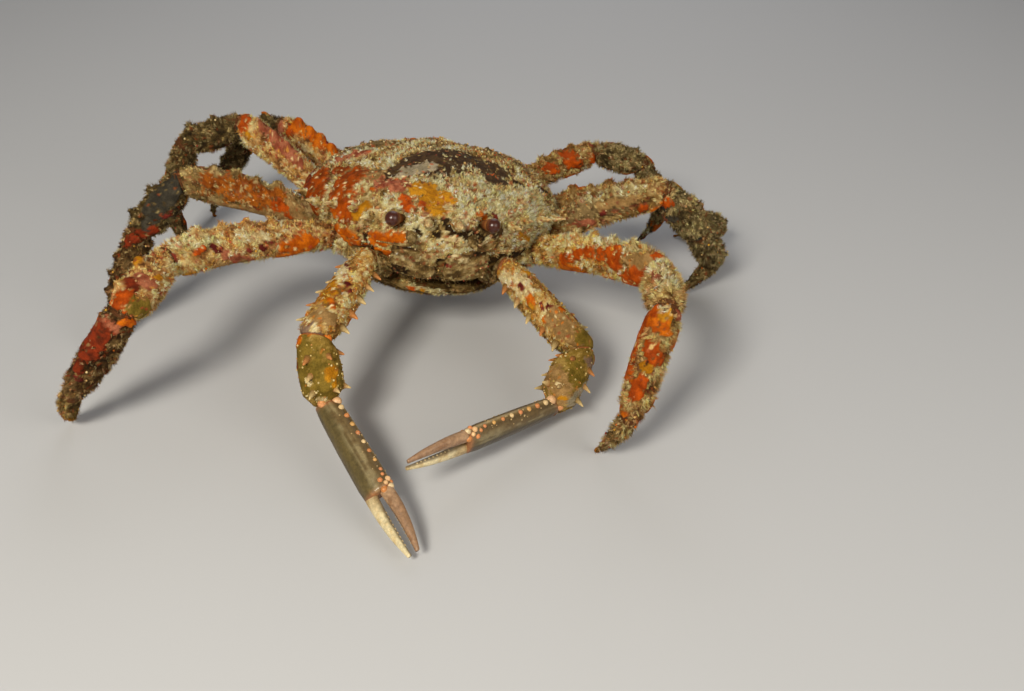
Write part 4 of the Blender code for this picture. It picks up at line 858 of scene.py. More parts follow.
class Mould:
    """Gathers the surfaces that make one piece, with their colours."""

    def __init__(self):
        self.points, self.loops, self.sizes, self.colours = [], [], [], []
        self.count = 0

    def take(self, points, colours, *polygons):
        flat = points.reshape(-1, 3)
        self.points.append(flat)
        self.colours.append(np.broadcast_to(colours, points.shape[:-1] + (4,)).reshape(-1, 4))
        for faces in polygons:
            self.loops.append((faces + self.count).ravel())
            self.sizes.append(np.full(len(faces), faces.shape[1]))
        self.count += len(flat)

    def rings(self, surface, colours):
        """Rings joined into a closed skin, with a fan of faces over each end."""
        rows, columns = surface.shape[:2]
        colours = np.broadcast_to(colours, (rows, columns, 4))
        index = np.arange(rows * columns).reshape(rows, columns)
        right = np.roll(index, -1, axis=1)
        sides = np.stack([index[:-1], right[:-1], right[1:], index[1:]], axis=-1).reshape(-1, 4)
        ends = np.stack([surface[0].mean(axis=0), surface[-1].mean(axis=0)])
        tones = np.stack([colours[0].mean(axis=0), colours[-1].mean(axis=0)])
        first, last = rows * columns, rows * columns + 1
        start = np.stack([right[0], index[0], np.full(columns, first)], axis=-1)
        end = np.stack([index[-1], right[-1], np.full(columns, last)], axis=-1)
        self.take(np.concatenate([surface.reshape(-1, 3), ends]),
                  np.concatenate([colours.reshape(-1, 4), tones]), sides, start, end)

    def skin(self, skin):
        self.rings(skin.points, skin.under())

    def piece(self, name, material, slot, *nodes):
        """Makes the mesh object, which rides on the crab and stands for these nodes."""
        mesh = bpy.data.meshes.new(name)
        points, loops = np.concatenate(self.points), np.concatenate(self.loops)
        points[:, 2] = np.maximum(points[:, 2], 0.0)
        sizes, colours = np.concatenate(self.sizes), np.concatenate(self.colours)
        mesh.vertices.add(len(points))
        mesh.vertices.foreach_set("co", points.astype(np.float32).ravel())
        mesh.loops.add(len(loops))
        mesh.loops.foreach_set("vertex_index", loops.astype(np.int32))
        mesh.polygons.add(len(sizes))
        starts = np.concatenate([[0], np.cumsum(sizes)[:-1]])
        mesh.polygons.foreach_set("loop_start", starts.astype(np.int32))
        mesh.update(calc_edges=True)
        mesh.shade_smooth()
        tones = mesh.color_attributes.new("growth", "FLOAT_COLOR", "POINT")
        tones.data.foreach_set("color", colours.astype(np.float32).ravel())
        mesh.materials.append(material)
        made = bpy.data.objects.new(name, mesh)
        bpy.context.scene.collection.objects.link(made)
        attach(made, "root")
        if nodes:
            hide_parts(*nodes)
        return made


def turned_rings(root, direction, profile, sides, bend=(0.0, 0.0, 0.0)):
    """Rings of a form with round sections: distance along the direction, then radius, of each."""
    axis = np.array(direction) / np.linalg.norm(direction)
    helper = np.array((0.0, 0.0, 1.0)) if abs(axis[2]) < 0.9 else np.array((1.0, 0.0, 0.0))
    wide = unit(np.cross(helper, axis))
    tall = np.cross(axis, wide)
    angle = round_angles(sides)
    circle = np.cos(angle)[:, None] * wide + np.sin(angle)[:, None] * tall
    reach = profile[-1][0]
    return np.stack([np.array(root) + axis * d + np.array(bend) * max(d, 0) ** 2 / reach + circle * r
                     for d, r in profile])


def thorn(mould, root, direction, length, radius, base, tip, bend=(0.0, 0.0, 0.0)):
    """A bare tapered spine with a blunt point, paler towards it."""
    profile = [(d * length, r * radius) for d, r in THORN_FORM]
    mix = np.array([max(d, 0.0) ** 1.2 for d, _ in THORN_FORM])[:, None, None]
    rings = turned_rings(root, direction, profile, THORN_SIDES, bend)
    mould.rings(rings, base + (tip - base) * mix)


def bead(mould, root, direction, radius, tone, sides=8):
    """A low rounded tubercle."""
    rings = turned_rings(root, direction, [(d * radius, r * radius) for d, r in BEAD_FORM], sides)
    mould.rings(rings, tone)


def crusted_spine(name, root, direction, length, radius, blunt=0.0):
    """A spine that turf grows on, up to its bare pale tip."""
    t = np.array([d for d, _ in THORN_FORM])
    r = np.array([r for _, r in THORN_FORM])
    place = np.linspace(t[0], t[-1], SPINE_ROWS)
    dome = np.sqrt(np.clip(1 - np.clip(t, 0, 1) ** 3, 0.05, 1))
    thick = np.interp(place, t, r * (1 - blunt) + blunt * dome)
    rings = turned_rings(root, direction, list(zip(place * length, thick * radius)), SPINE_SIDES)
    skin = Skin(name, rings, SPINE_TURF_DEPTH, SPINE_ROUGHNESS)
    tip = step(*SPINE_TIP_STARTS, place)[:, None]
    skin.colours = skin.colours + (tinted(SPINE_TIP_TONE) - skin.colours) * tip[..., None] * 0.55
    skin.fuzz = skin.fuzz * (0.8 - 0.5 * tip)
    return skin


def freckle(mould, skin, count, tones, sizes=GRAIN_RADII, least=0.4):
    """Small crusted grains scattered over a skin, standing as proud of it as the turf there is deep."""
    draw = np.random.default_rng(seed_of(skin.name) + 77)
    rows, columns = skin.fuzz.shape
    for _ in range(count):
        r, c = draw.integers(2, rows - 2), draw.integers(columns)
        if skin.fuzz[r, c] < least:
            continue
        tone = tinted(tones[draw.integers(len(tones))])
        radius = draw.uniform(*sizes)
        way = skin.normals[r, c] + draw.normal(0, 0.3, 3)
        lift = skin.normals[r, c] * draw.uniform(*GRAIN_LIFTS) * min(skin.fuzz[r, c], 1.0)
        bead(mould, skin.points[r, c] + lift, way, radius, tone, 6)


def sown(name, skins, density, lie, draw):
    """The tufts of a coat: root, way, height and tone of each, and its place on an unwrap of the skins."""
    seed = seed_of(name)
    found = []
    for i, skin in enumerate(skins):
        p = skin.points
        rows, columns = p.shape[:2]
        right = np.roll(p, -1, axis=1)
        area = np.linalg.norm(np.cross(right[1:] - p[:-1], p[1:] - right[:-1]), axis=-1) / 2
        weight = area * np.clip(skin.fuzz[:-1], 0, 1.1)
        number = int(weight.sum() * MM2_PER_M2 * TUFTS_PER_MM2 * density)
        if number == 0:
            continue
        heap = np.cumsum(weight.ravel())
        cell = np.searchsorted(heap, draw.random(number) * heap[-1])
        r, c = np.divmod(np.minimum(cell, weight.size - 1), columns)
        a, b = draw.random(number), draw.random(number)
        c1 = (c + 1) % columns
        mix = [share[:, None] for share in ((1 - a) * (1 - b), (1 - a) * b, a * (1 - b), a * b)]
        corners = ((r, c), (r, c1), (r + 1, c), (r + 1, c1))
        root = sum(w * p[k] for w, k in zip(mix, corners))
        out = unit(sum(w * skin.normals[k] for w, k in zip(mix, corners)))
        along = unit(p[np.minimum(r + 1, rows - 1), c] - p[r, c])
        clump = np.stack([grain(root, CLUMP_SIZE, seed + k) for k in range(3)], axis=-1)
        way = unit(out + along * lie + clump * CLUMP_LEAN + draw.normal(0, TUFT_LEAN, (number, 3)))
        tall = np.clip(skin.fuzz[r, c], *TUFT_HEIGHTS) * (1 + 0.5 * grain(root, TUFT_HEIGHT_SIZE, seed + 9))
        place = np.stack([(r + a) / rows, (i + (c + b) / columns) / len(skins)], axis=-1)
        found.append((root, way, tall, skin.colours[r, c, :3], 0.01 + 0.98 * place))
    return [np.concatenate(values) for values in zip(*found)]


def coat(name, skins, slot, length=1.0, density=1.0, lie=0.25):
    """Short crusty turf over some skins: tufts of tapered blades, with a painted highlight at the tip and
    painted shade at the root.
    """
    draw = np.random.default_rng(seed_of(name))
    roots, ways, heights, tones, places = sown(name, skins, density, lie, draw)
    total = len(roots)
    shade = (0.60 + 1.10 * draw.random(total) ** 1.4)[:, None]
    tones = np.clip(tones * shade * (1 + draw.normal(0, 0.07, (total, 3))), 0, 1)
    pale = (draw.random(total) < PALE_TUFTS)[:, None]
    tones = np.where(pale, tones * 0.9 + linear(PALE_TUFT_TONE) * 0.5, tones)
    count = total * BLADES
    tuft = np.repeat(np.arange(total), BLADES)
    lean = np.where(draw.random(count) < LOOSE_BLADES, LOOSE_BLADE_LEAN, BLADE_LEAN)[:, None]
    way = unit(ways[tuft] + draw.normal(0, 1, (count, 3)) * lean)
    foot = roots[tuft] + draw.normal(0, TUFT_SPREAD, (count, 3)) - ways[tuft] * BLADE_SINK
    tall = BLADE_LENGTH * length * heights[tuft] * draw.uniform(*BLADE_LENGTHS, count)
    helper = unit(draw.normal(0, 1, (count, 3)))
    wide = unit(np.cross(way, helper))
    deep = np.cross(way, wide)
    girth = (BLADE_RADIUS * draw.uniform(*BLADE_GIRTHS, count))[:, None]
    points = np.empty((count, 4, 3))
    for k in range(3):
        angle = 2 * math.pi * k / 3
        points[:, k] = foot + girth * (math.cos(angle) * wide + math.sin(angle) * deep)
    points[:, 3] = foot + way * tall[:, None]
    points[..., 2] = np.maximum(points[..., 2], 0.0)
    colours = np.zeros((count, 4, 4))
    # Painted shade at the roots, painted highlight at the tips.
    colours[:, :3, :3] = (tones * BLADE_ROOT_SHADE)[tuft][:, None]
    colours[:, 3, :3] = np.clip(tones * BLADE_TIP_HIGHLIGHT, 0, 1)[tuft]
    base = np.arange(count)[:, None] * 4
    faces = np.stack([base + (k, (k + 1) % 3, 3) for k in range(3)], axis=1).reshape(-1, 3)
    mould = Mould()
    mould.take(points.reshape(-1, 3), colours.reshape(-1, 4), faces)
    made = mould.piece(name, standing_turf, slot)
    corner = np.array([(-1.0, -0.6), (1.0, -0.6), (0.0, 1.0), (0.0, 0.0)]) * UV_PATCH
    spot = (places[tuft][:, None] + corner[None]).reshape(-1, 2)
    layer = made.data.uv_layers.new(name="OFBake")
    layer.uv.foreach_set("vector", spot[faces.ravel()].astype(np.float32).ravel())


def group(name, inputs, outputs):
    """An empty shader node group with these sockets."""
    tree = bpy.data.node_groups.new(name, "ShaderNodeTree")
    for label, kind, value in inputs:
        socket = tree.interface.new_socket(label, in_out="INPUT", socket_type=kind)
        socket.default_value = value
    for label, kind in outputs:
        tree.interface.new_socket(label, in_out="OUTPUT", socket_type=kind)
    return tree, tree.nodes.new("NodeGroupInput"), tree.nodes.new("NodeGroupOutput")


def node(tree, kind, values=None, **settings):
    """A new shader node with these settings, and these values on its inputs."""
    made = tree.nodes.new(f"ShaderNode{kind}")
    for label, setting in settings.items():
        setattr(made, label, setting)
    for label, value in (values or {}).items():
        made.inputs[label].default_value = value
    return made


def speckled_tone():
    """Takes a colour and breaks it into fine lighter and darker specks."""
    tree, start, end = group("speckled_tone", (
        ("Colour", "NodeSocketColor", (0.5, 0.5, 0.5, 1.0)), ("Specks per metre", "NodeSocketFloat", 900.0),
        ("Strength", "NodeSocketFloat", 0.3)), (("Colour", "NodeSocketColor"),))
    place = node(tree, "TexCoord")
    noise = node(tree, "TexNoise", {"Detail": 4.0, "Roughness": 0.7})
    spread = node(tree, "MapRange", {"From Min": 0.3, "From Max": 0.7, "To Min": -1.0})
    strength = node(tree, "Math", {2: 1.0}, operation="MULTIPLY_ADD")
    scale = node(tree, "VectorMath", operation="SCALE")
    link = tree.links.new
    link(place.outputs["Object"], noise.inputs["Vector"])
    link(start.outputs["Specks per metre"], noise.inputs["Scale"])
    link(noise.outputs["Fac"], spread.inputs["Value"])
    link(spread.outputs["Result"], strength.inputs[0])
    link(start.outputs["Strength"], strength.inputs[1])
    link(start.outputs["Colour"], scale.inputs[0])
    link(strength.outputs["Value"], scale.inputs["Scale"])
    link(scale.outputs["Vector"], end.inputs["Colour"])
    return tree


def pitted_height():
    """A height of small pits and pores, finer ones inside coarser ones."""
    tree, start, end = group("pitted_height", (
        ("Pits per metre", "NodeSocketFloat", 700.0),), (("Height", "NodeSocketFloat"),))
    place = node(tree, "TexCoord")
    cells = node(tree, "TexVoronoi")
    noise = node(tree, "TexNoise", {"Detail": 5.0})
    total = node(tree, "Math", {1: 0.6}, operation="MULTIPLY_ADD")
    link = tree.links.new
    link(place.outputs["Object"], cells.inputs["Vector"])
    link(place.outputs["Object"], noise.inputs["Vector"])
    link(start.outputs["Pits per metre"], cells.inputs["Scale"])
    link(start.outputs["Pits per metre"], noise.inputs["Scale"])
    link(cells.outputs["Distance"], total.inputs[0])
    link(noise.outputs["Fac"], total.inputs[2])
    link(total.outputs["Value"], end.inputs["Height"])
    return tree


SPECKLED = speckled_tone()
PITTED = pitted_height()


def finish(name, specks, strength, matt, glossy, sheen, pits=0.0, bump=0.0, coat_weight=0.0):
    """A finish that takes its colour from the growth, and its gloss from how bare the shell is."""
    made = bpy.data.materials.new(name)
    made.use_nodes = True
    tree = made.node_tree
    shader = tree.nodes["Principled BSDF"]
    shader.inputs["Specular IOR Level"].default_value = sheen
    shader.inputs["Coat Weight"].default_value = coat_weight
    shader.inputs["Coat Roughness"].default_value = 0.22
    stored = node(tree, "Attribute", attribute_name="growth")
    tone = node(tree, "Group", {"Specks per metre": specks, "Strength": strength}, node_tree=SPECKLED)
    gloss = node(tree, "MapRange", {"To Min": matt, "To Max": glossy})
    link = tree.links.new
    link(stored.outputs["Color"], tone.inputs["Colour"])
    link(tone.outputs["Colour"], shader.inputs["Base Color"])
    link(stored.outputs["Alpha"], gloss.inputs["Value"])
    link(gloss.outputs["Result"], shader.inputs["Roughness"])
    if bump:
        pitted = node(tree, "Group", {"Pits per metre": pits}, node_tree=PITTED)
        raised_grain = node(tree, "Bump", {"Distance": bump, "Strength": 0.8})
        link(pitted.outputs["Height"], raised_grain.inputs["Height"])
        link(raised_grain.outputs["Normal"], shader.inputs["Normal"])
    return made


overgrown_shell = finish("overgrown_shell", specks=1300.0, strength=0.28, matt=0.85, glossy=0.45, sheen=0.10,
                         pits=800.0, bump=0.0004)
standing_turf = finish("standing_turf", specks=1800.0, strength=0.12, matt=0.80, glossy=0.6, sheen=0.12)
bare_hand_shell = finish("bare_hand_shell", specks=700.0, strength=0.26, matt=0.55, glossy=0.31, sheen=0.5,
                         pits=500.0, bump=0.00020)
eye_surface = finish("dark_glossy_eye", specks=2600.0, strength=0.5, matt=0.35, glossy=0.28, sheen=0.4,
                     pits=3000.0, bump=0.00005, coat_weight=0.35)


def turned_way(heading, climb):
    h, c = math.radians(heading), math.radians(climb)
    return Vector((math.cos(h) * math.cos(c), math.sin(h) * math.cos(c), math.sin(c)))


BODY = (Matrix.Translation(BODY_AT) @ Matrix.Rotation(math.radians(BODY_YAW), 4, "Z")
        @ Matrix.Rotation(math.radians(-BODY_NOSE_UP), 4, "X")
        @ Matrix.Rotation(math.radians(BODY_LEFT_DOWN), 4, "Y"))
BODY_TURN = np.array(BODY.to_3x3())
BODY_PLACE = np.array(BODY.translation)


def placed(points):
    """Points in the body's axes, in the model's."""
    return np.asarray(points) @ BODY_TURN.T + BODY_PLACE


def sided(point, side):
    return np.array((point[0] * side, point[1], point[2]))


def relief(x, y):
    total = np.zeros_like(x)
    for mx, my, reach, height in REGIONS:
        for side in ((1,) if mx == 0.0 else (1, -1)):
            total += height * np.exp(-((x - side * mx) ** 2 + (y - my) ** 2) / reach ** 2)
    return total


def outline(count):
    """The carapace's outline from above, front middle first, on a smooth closed curve."""
    half = np.array(HALF_OUTLINE)
    whole = np.concatenate([half, half[-2:0:-1] * (-1, 1)])
    t = np.linspace(0, 1, 24, endpoint=False)[:, None]
    fine = []
    for i in range(len(whole)):
        fine.append(curve_between(*(whole[(i + k) % len(whole)] for k in (-1, 0, 1, 2)), t))
    fine = np.concatenate(fine + [whole[:1]])
    length = np.concatenate([[0], np.cumsum(np.linalg.norm(np.diff(fine, axis=0), axis=1))])
    wanted = np.arange(count) / count * length[-1]
    return np.stack([np.interp(wanted, length, fine[:, k]) for k in range(2)], axis=-1)


def frontness(y):
    """0 in the middle and at the back of the body, 1 at its front, smooth between."""
    return step(0, FRONT_SPAN, FRONT_STARTS - y)


def resampled(keys, rows):
    """More rings along a smooth curve through the given ones."""
    place = np.linspace(0, len(keys) - 1, rows)
    low = np.minimum(place.astype(int), len(keys) - 2)
    t = (place - low)[:, None, None]
    return curve_between(*(keys[np.clip(low + k, 0, len(keys) - 1)] for k in (-1, 0, 1, 2)), t)


def wall_rings(edge, wall, rows):
    """Rings up a wall of the body, between the named ones."""
    middle = np.array(SHELL_MIDDLE)
    front = frontness(edge[:, 1])
    keys = []
    for side, ahead, height, lift in wall:
        scale = side + (ahead - side) * front
        flat = middle + (edge - middle) * scale[:, None]
        keys.append(np.column_stack([flat, height + lift * front]))
    return resampled(np.stack(keys), rows)


def dome_rings(edge, scales):
    middle = np.array(SHELL_MIDDLE)
    front = frontness(edge[:, 1])
    rings = []
    for scale in scales:
        flat = middle + (edge - middle) * scale
        rise = DOME_HEIGHT * (1 - scale ** 2) ** DOME_FULLNESS + FRONT_LIFT * front * scale ** 3
        fade = min(1.0, (1 - scale) / RELIEF_FADE)
        rings.append(np.column_stack([flat, rise + relief(flat[:, 0], flat[:, 1]) * fade]))
    return np.stack(rings)


def hollowed(rings, centre, radii):
    """Pushes what lies inside an orbit back to the orbit's own wall."""
    way = np.array((-0.10 * np.sign(centre[0]), 1.0, -0.10))
    q = (rings - centre) / radii
    s = way / radii
    inside = np.sum(q * q, axis=-1) < 1
    a, b, c = s @ s, q @ s, np.sum(q * q, axis=-1) - 1
    reach = (-b + np.sqrt(np.maximum(b * b - a * c, 0))) / a
    return np.where(inside[..., None], rings + way * reach[..., None], rings)


def on_dome(rim, scale):
    """A point on the dome, towards a point of its rim, and the way out of it there."""
    spot, nearer = dome_rings(rim[None], (scale, scale - 0.05))[:, 0]
    slope = unit(spot - nearer)
    out = unit(np.cross(slope, unit(np.array((-slope[1], slope[0], 0.0)))))
    return spot, out * np.sign(out[2])


def tubercles():
    """The carapace's tubercles, larger towards its edge: place, way out, height and radius."""
    draw = random.Random(TUBERCLE_SEED)
    edge = outline(TUBERCLE_RIM_STEPS)
    inner, outer = TUBERCLE_ZONE
    kept = []
    k = 0
    while len(kept) < TUBERCLE_COUNT:
        k += 1
        rim = edge[int((k * GOLDEN_SHARE) % 1.0 * TUBERCLE_RIM_STEPS)]
        scale = inner + (outer - inner) * math.sqrt(draw.random())
        spot, out = on_dome(rim, scale)
        if spot[1] < BROW[0] and abs(spot[0]) < BROW[1]:
            continue
        if any(np.linalg.norm(spot - other[0]) < TUBERCLE_SPACING for other in kept):
            continue
        radius = TUBERCLE_RADIUS + TUBERCLE_EDGE_EXTRA * scale
        kept.append((spot, out, radius * TUBERCLE_HEIGHT_SHARE, radius))
    return kept


def crusted_spines(edge):
    """The carapace's spines on both sides: horn, orbit and margin."""
    spines = []
    for side in (1, -1):
        horn, tip = sided(HORN_ROOT, side), sided(HORN_TIP, side)
        way = BODY_TURN @ (tip - horn)
        length = np.linalg.norm(way)
        spines.append(crusted_spine("spines", placed(horn), way, length, HORN_RADIUS, HORN_BLUNTNESS))
        for place, way, length, radius in ORBIT_SPINES:
            spines.append(crusted_spine("spines", placed(sided(place, side)), BODY_TURN @ sided(way, side),
                                        length, radius, ORBIT_SPINE_BLUNTNESS))
        flank = edge[edge[:, 0] * side > 0]
        for y, length, radius in MARGIN_SPINES:
            flat = flank[np.argmin(abs(flank[:, 1] - y))]
            spot = np.array((*flat, 0.0))
            way = spot - np.array(MARGIN_AIM)
            spot[2] = MARGIN_SPINE_RISE + FRONT_LIFT * frontness(flat[1])
            spines.append(crusted_spine("spines", placed(spot), BODY_TURN @ way, length, radius))
    return spines


def make_carapace():
    edge = outline(OUTLINE_COLUMNS)
    wall = wall_rings(edge, CARAPACE_WALL, WALL_ROWS)
    scales = np.linspace(0.99, DOME_CENTRE_SCALE, DOME_ROWS) ** 0.9
    rings = np.concatenate([wall, dome_rings(edge, np.clip(scales, 0, 0.99))])
    rings = raised(rings, tubercles(), 1.3)
    for side in (1, -1):
        rings = hollowed(rings, sided(ORBIT_AT, side), np.array(ORBIT_RADII))
    points = placed(rings)
    crust = grains(points, CRUST_SIZE, 31)[0]
    points = points + normals_of(points) * (CRUST_HEIGHT * (crust - CRUST_LEVEL))[..., None]
    skin = Skin("carapace", points)
    spines = crusted_spines(edge)
    mould = Mould()
    for grown in [skin] + spines:
        mould.skin(grown)
    freckle(mould, skin, *CARAPACE_GRAINS)
    mould.piece("carapace_shell", overgrown_shell, "shell", "carapace")
    y = (skin.points - BODY_PLACE) @ BODY_TURN[:, 1]
    whole = skin.fuzz
    for label, share in (("front", y < TURF_PARTING), ("back", y >= TURF_PARTING)):
        skin.fuzz = whole * share
        coat(f"carapace_turf_{label}", [skin] + (spines if label == "front" else []), "shell", 0.9)


def make_thorax():
    skin = Skin("thorax", placed(wall_rings(outline(THORAX_COLUMNS), THORAX_WALL, THORAX_ROWS)))
    mould = Mould()
    mould.skin(skin)
    freckle(mould, skin, *THORAX_GRAINS)
    mould.piece("thorax_shell", overgrown_shell, "underside", "thorax")
    return skin


def make_abdomen():
    """The broad apron, with the shallow joints between its plates."""
    length, middle_y = ABDOMEN_BACK - ABDOMEN_FRONT, (ABDOMEN_BACK + ABDOMEN_FRONT) / 2
    angle = round_angles(ABDOMEN_COLUMNS)
    keys = []
    for scale, drop in reversed(ABDOMEN_RINGS):
        keys.append(np.column_stack([
            ABDOMEN_HALF_WIDTH * scale * np.cos(angle), middle_y + length / 2 * scale * np.sin(angle),
            np.full(ABDOMEN_COLUMNS, STERNUM_HEIGHT - drop)]))
    rings = resampled(np.stack(keys), ABDOMEN_ROWS)
    place = (rings[..., 1] - ABDOMEN_FRONT) / length * (APRON_JOINTS + 1)
    place = place + 0.04 * np.cos(rings[..., 0] / 0.02)
    groove = np.exp(-((place - np.round(place)) / APRON_GROOVE_WIDTH) ** 2)
    rings[..., 2] += APRON_GROOVE_DEPTH * groove * step(-0.031, -0.034, rings[..., 2])
    skin = Skin("abdomen", placed(rings), APRON_TURF_DEPTH, 0.6)
    mould = Mould()
    mould.rings(skin.points, darkened(skin.under(), 1 - 0.45 * groove))
    mould.piece("abdomen_apron", overgrown_shell, "underside", "abdomen")
    return skin


def make_mouth_plate(side, letter):
    """An outer mouth plate, with the groove between its two joints."""
    top, foot = sided(MOUTH_PLATE_ROOT, side), sided(MOUTH_PLATE_FOOT, side)
    way = unit(foot - top)
    across = unit(np.array((MOUTH_PLATE_ACROSS[0], MOUTH_PLATE_ACROSS[1] * side, 0.0)))
    across = unit(across - way * (across @ way))
    out = np.cross(way, across)
    angle = round_angles(MOUTH_PLATE_COLUMNS)
    c, s = np.cos(angle), np.sin(angle)
    keys = []
    for t, wide, thick in MOUTH_PLATE_PROFILE:
        flat = np.sign(c) * abs(c) ** 0.75 * MOUTH_PLATE_HALF_WIDTH * wide
        deep = np.sign(s) * abs(s) ** 0.85 * MOUTH_PLATE_HALF_THICKNESS * thick
        keys.append(top + (foot - top) * t + flat[:, None] * across + deep[:, None] * out)
    rings = resampled(np.stack(keys), MOUTH_PLATE_ROWS)
    along = (rings - top) @ way / np.linalg.norm(foot - top)
    flat = (rings - top) @ across
    from_groove = along - MOUTH_GROOVE_AT - 0.10 * np.sin(flat / 0.006)
    groove = np.exp(-(from_groove / MOUTH_GROOVE_WIDTH) ** 2)
    points = placed(rings)
    points = points - normals_of(points) * (MOUTH_GROOVE_DEPTH * groove)[..., None]
    skin = Skin(f"maxilliped_{letter}", points, MOUTH_TURF_DEPTH)
    skin.fuzz = skin.fuzz * (1 - 0.8 * groove)
    mould = Mould()
    mould.rings(skin.points, darkened(skin.under(), 1 - 0.5 * groove))
    freckle(mould, skin, *MOUTH_GRAINS)
    mould.piece(f"mouth_plate_{letter}", overgrown_shell, "underside", f"maxilliped_{letter}")
    return skin


def make_eye(side, letter):
    root, eye = placed(sided(EYE_STALK_ROOT, side)), placed(sided(EYE_AT, side))
    way = unit(eye - root)
    reach = np.linalg.norm(eye - root)
    stalk = Mould()
    profile = [(reach * share, radius) for share, radius, _, _ in EYE_STALK_RINGS]
    tones = np.stack([tinted(tone, bare) for _, _, tone, bare in EYE_STALK_RINGS])
    stalk.rings(turned_rings(root, way, profile, 28), tones[:, None])
    stalk.piece(f"eye_stalk_{letter}", overgrown_shell, "eye")
    ball = Mould()
    radius = EYE_RADIUS * EYE_BALL_SHARE
    turn = np.linspace(*EYE_TURN, 22)
    profile = [(reach + radius * math.sin(a), radius * math.cos(a)) for a in turn]
    tones = np.stack([tinted(EYE_TONE if a > EYE_RIM_TURN else EYE_RIM_TONE, 0.9) for a in turn])
    ball.rings(turned_rings(root, way, profile, 36), tones[:, None])
    ball.piece(f"eye_ball_{letter}", eye_surface, "eye", f"eye_{letter}")


def make_antenna(side, letter):
    """A stout crusted base with two spines, and a ringed whip that curves outwards."""
    root, knee, tip = (placed(sided(p, side)) for p in (ANTENNA_ROOT, ANTENNA_KNEE, ANTENNA_TIP))
    bend = knee + unit(knee - root) * ANTENNA_BEND
    t = np.linspace(0, 1, ANTENNA_WHIP_ROWS)[:, None]
    whip = knee * (1 - t) ** 2 + bend * 2 * t * (1 - t) + tip * t ** 2
    base = root + (knee - root) * np.linspace(0, ANTENNA_BASE_SHARE, ANTENNA_BASE_ROWS)[:, None]
    line = np.concatenate([base, whip])
    thick = ANTENNA_BASE_RADIUS * np.interp(np.linspace(0, 1, ANTENNA_BASE_ROWS), *zip(*ANTENNA_BASE_PROFILE))
    slim = ANTENNA_WHIP_RADIUS + (ANTENNA_TIP_RADIUS - ANTENNA_WHIP_RADIUS) * t[:, 0]
    wave = np.cos(t[:, 0] * 2 * math.pi * ANTENNA_RINGS)
    radius = np.concatenate([thick, slim * (1 + 0.12 * wave)])
    along = unit(np.gradient(line, axis=0))
    wide = unit(np.cross(np.array((0, 0, 1.0)), along))
    tall = np.cross(along, wide)
    angle = round_angles(ANTENNA_COLUMNS)
    circle = np.cos(angle)[:, None] * wide[:, None] + np.sin(angle)[:, None] * tall[:, None]
    rings = line[:, None] + circle * radius[:, None, None]
    skin = Skin(f"antenna_{letter}", rings, 0.0001, 0.25)
    shade = np.concatenate([np.full(ANTENNA_BASE_ROWS, 0.8), 0.7 + 0.3 * wave])[:, None]
    on_base = step(22, 10, np.arange(len(line)))[:, None]
    skin.fuzz = skin.fuzz * on_base
    skin.colours = darkened(skin.colours, shade)
    mould = Mould()
    mould.skin(skin)
    base_tone, tip_tone = (tinted(tone) for tone in ANTENNA_SPINE_TONES)
    for share, lean in ANTENNA_SPINES:
        out = unit(wide[5] * side * lean + along[5] * 0.6)
        thorn(mould, root + (knee - root) * share, out, *ANTENNA_SPINE_SIZE, base_tone, tip_tone)
    mould.piece(f"antenna_{letter}_whip", overgrown_shell, "shell", f"antenna_{letter}")
    coat(f"antenna_{letter}_turf", [skin], "shell", 0.5)


class Segment:
    """One limb piece: elliptical sections along its middle line, mitred to its neighbours."""

    def __init__(self, kind, start, end, normals, across, half, ends, bow=0.0):
        self.kind, self.start, self.end, self.bow = kind, start, end, bow
        self.axis = (end - start).normalized()
        self.length = (end - start).length
        self.normals = normals
        self.across = (across - self.axis * across.dot(self.axis)).normalized()
        self.tall = self.axis.cross(self.across).normalized()
        self.half, self.ends = half, ends

    def middle(self, t):
        return self.start.lerp(self.end, t) + self.tall * self.bow * 4 * t * (1 - t)

    def normal(self, t):
        first, last = (max(0.0, 1 - d / MITRE_REACH) for d in (t, 1 - t))
        return (self.axis + (self.normals[0] - self.axis) * first
                + (self.normals[1] - self.axis) * last).normalized()

    def size(self, t):
        """Half width and half height at a fraction of the length."""
        profile = PROFILES[self.kind]
        places = [0.0] + [f for f, _ in profile] + [1.0]
        wide = [self.ends[0][0]] + [self.half[0] * k for _, k in profile] + [self.ends[1][0]]
        tall = [self.ends[0][1]] + [self.half[1] * k for _, k in profile] + [self.ends[1][1]]
        return np.interp(t, places, wide), np.interp(t, places, tall)

    def rings(self, rows, columns, lip=0.0011, flute=0.0, turn_in=0.16):
        """Fine rings, with the rims turned in at both ends and, if asked, shallow lengthwise ridges."""
        angle = round_angles(columns)
        c, s = np.cos(angle)[:, None], np.sin(angle)[:, None]
        ridge = (1 + flute * np.cos(3 * angle + 0.6))[:, None]
        inner = np.linspace(1, rows - 2, rows - 2)
        places = np.concatenate([[0.0, 0.25, 0.6], inner, [rows - 1.6, rows - 1.25, rows - 1]]) / (rows - 1)
        result = []
        for t in places:
            normal, (wide, tall) = self.normal(t), self.size(t)
            reach = min(t, 1 - t) * self.length
            inward = 1 - turn_in * (1 - min(1.0, reach / lip)) ** 2
            w = (self.across - normal * self.across.dot(normal)).normalized()
            h = normal.cross(w).normalized()
            section = c * np.array(w) * wide + s * np.array(h) * tall
            result.append(np.array(self.middle(t)) + section * ridge * inward)
        return np.stack(result)

    def surface(self, t, angle):
        a = math.radians(angle)
        wide, tall = self.size(t)
        out = (self.across * math.cos(a) / wide + self.tall * math.sin(a) / tall).normalized()
        return self.middle(t) + self.across * wide * math.cos(a) + self.tall * tall * math.sin(a), out


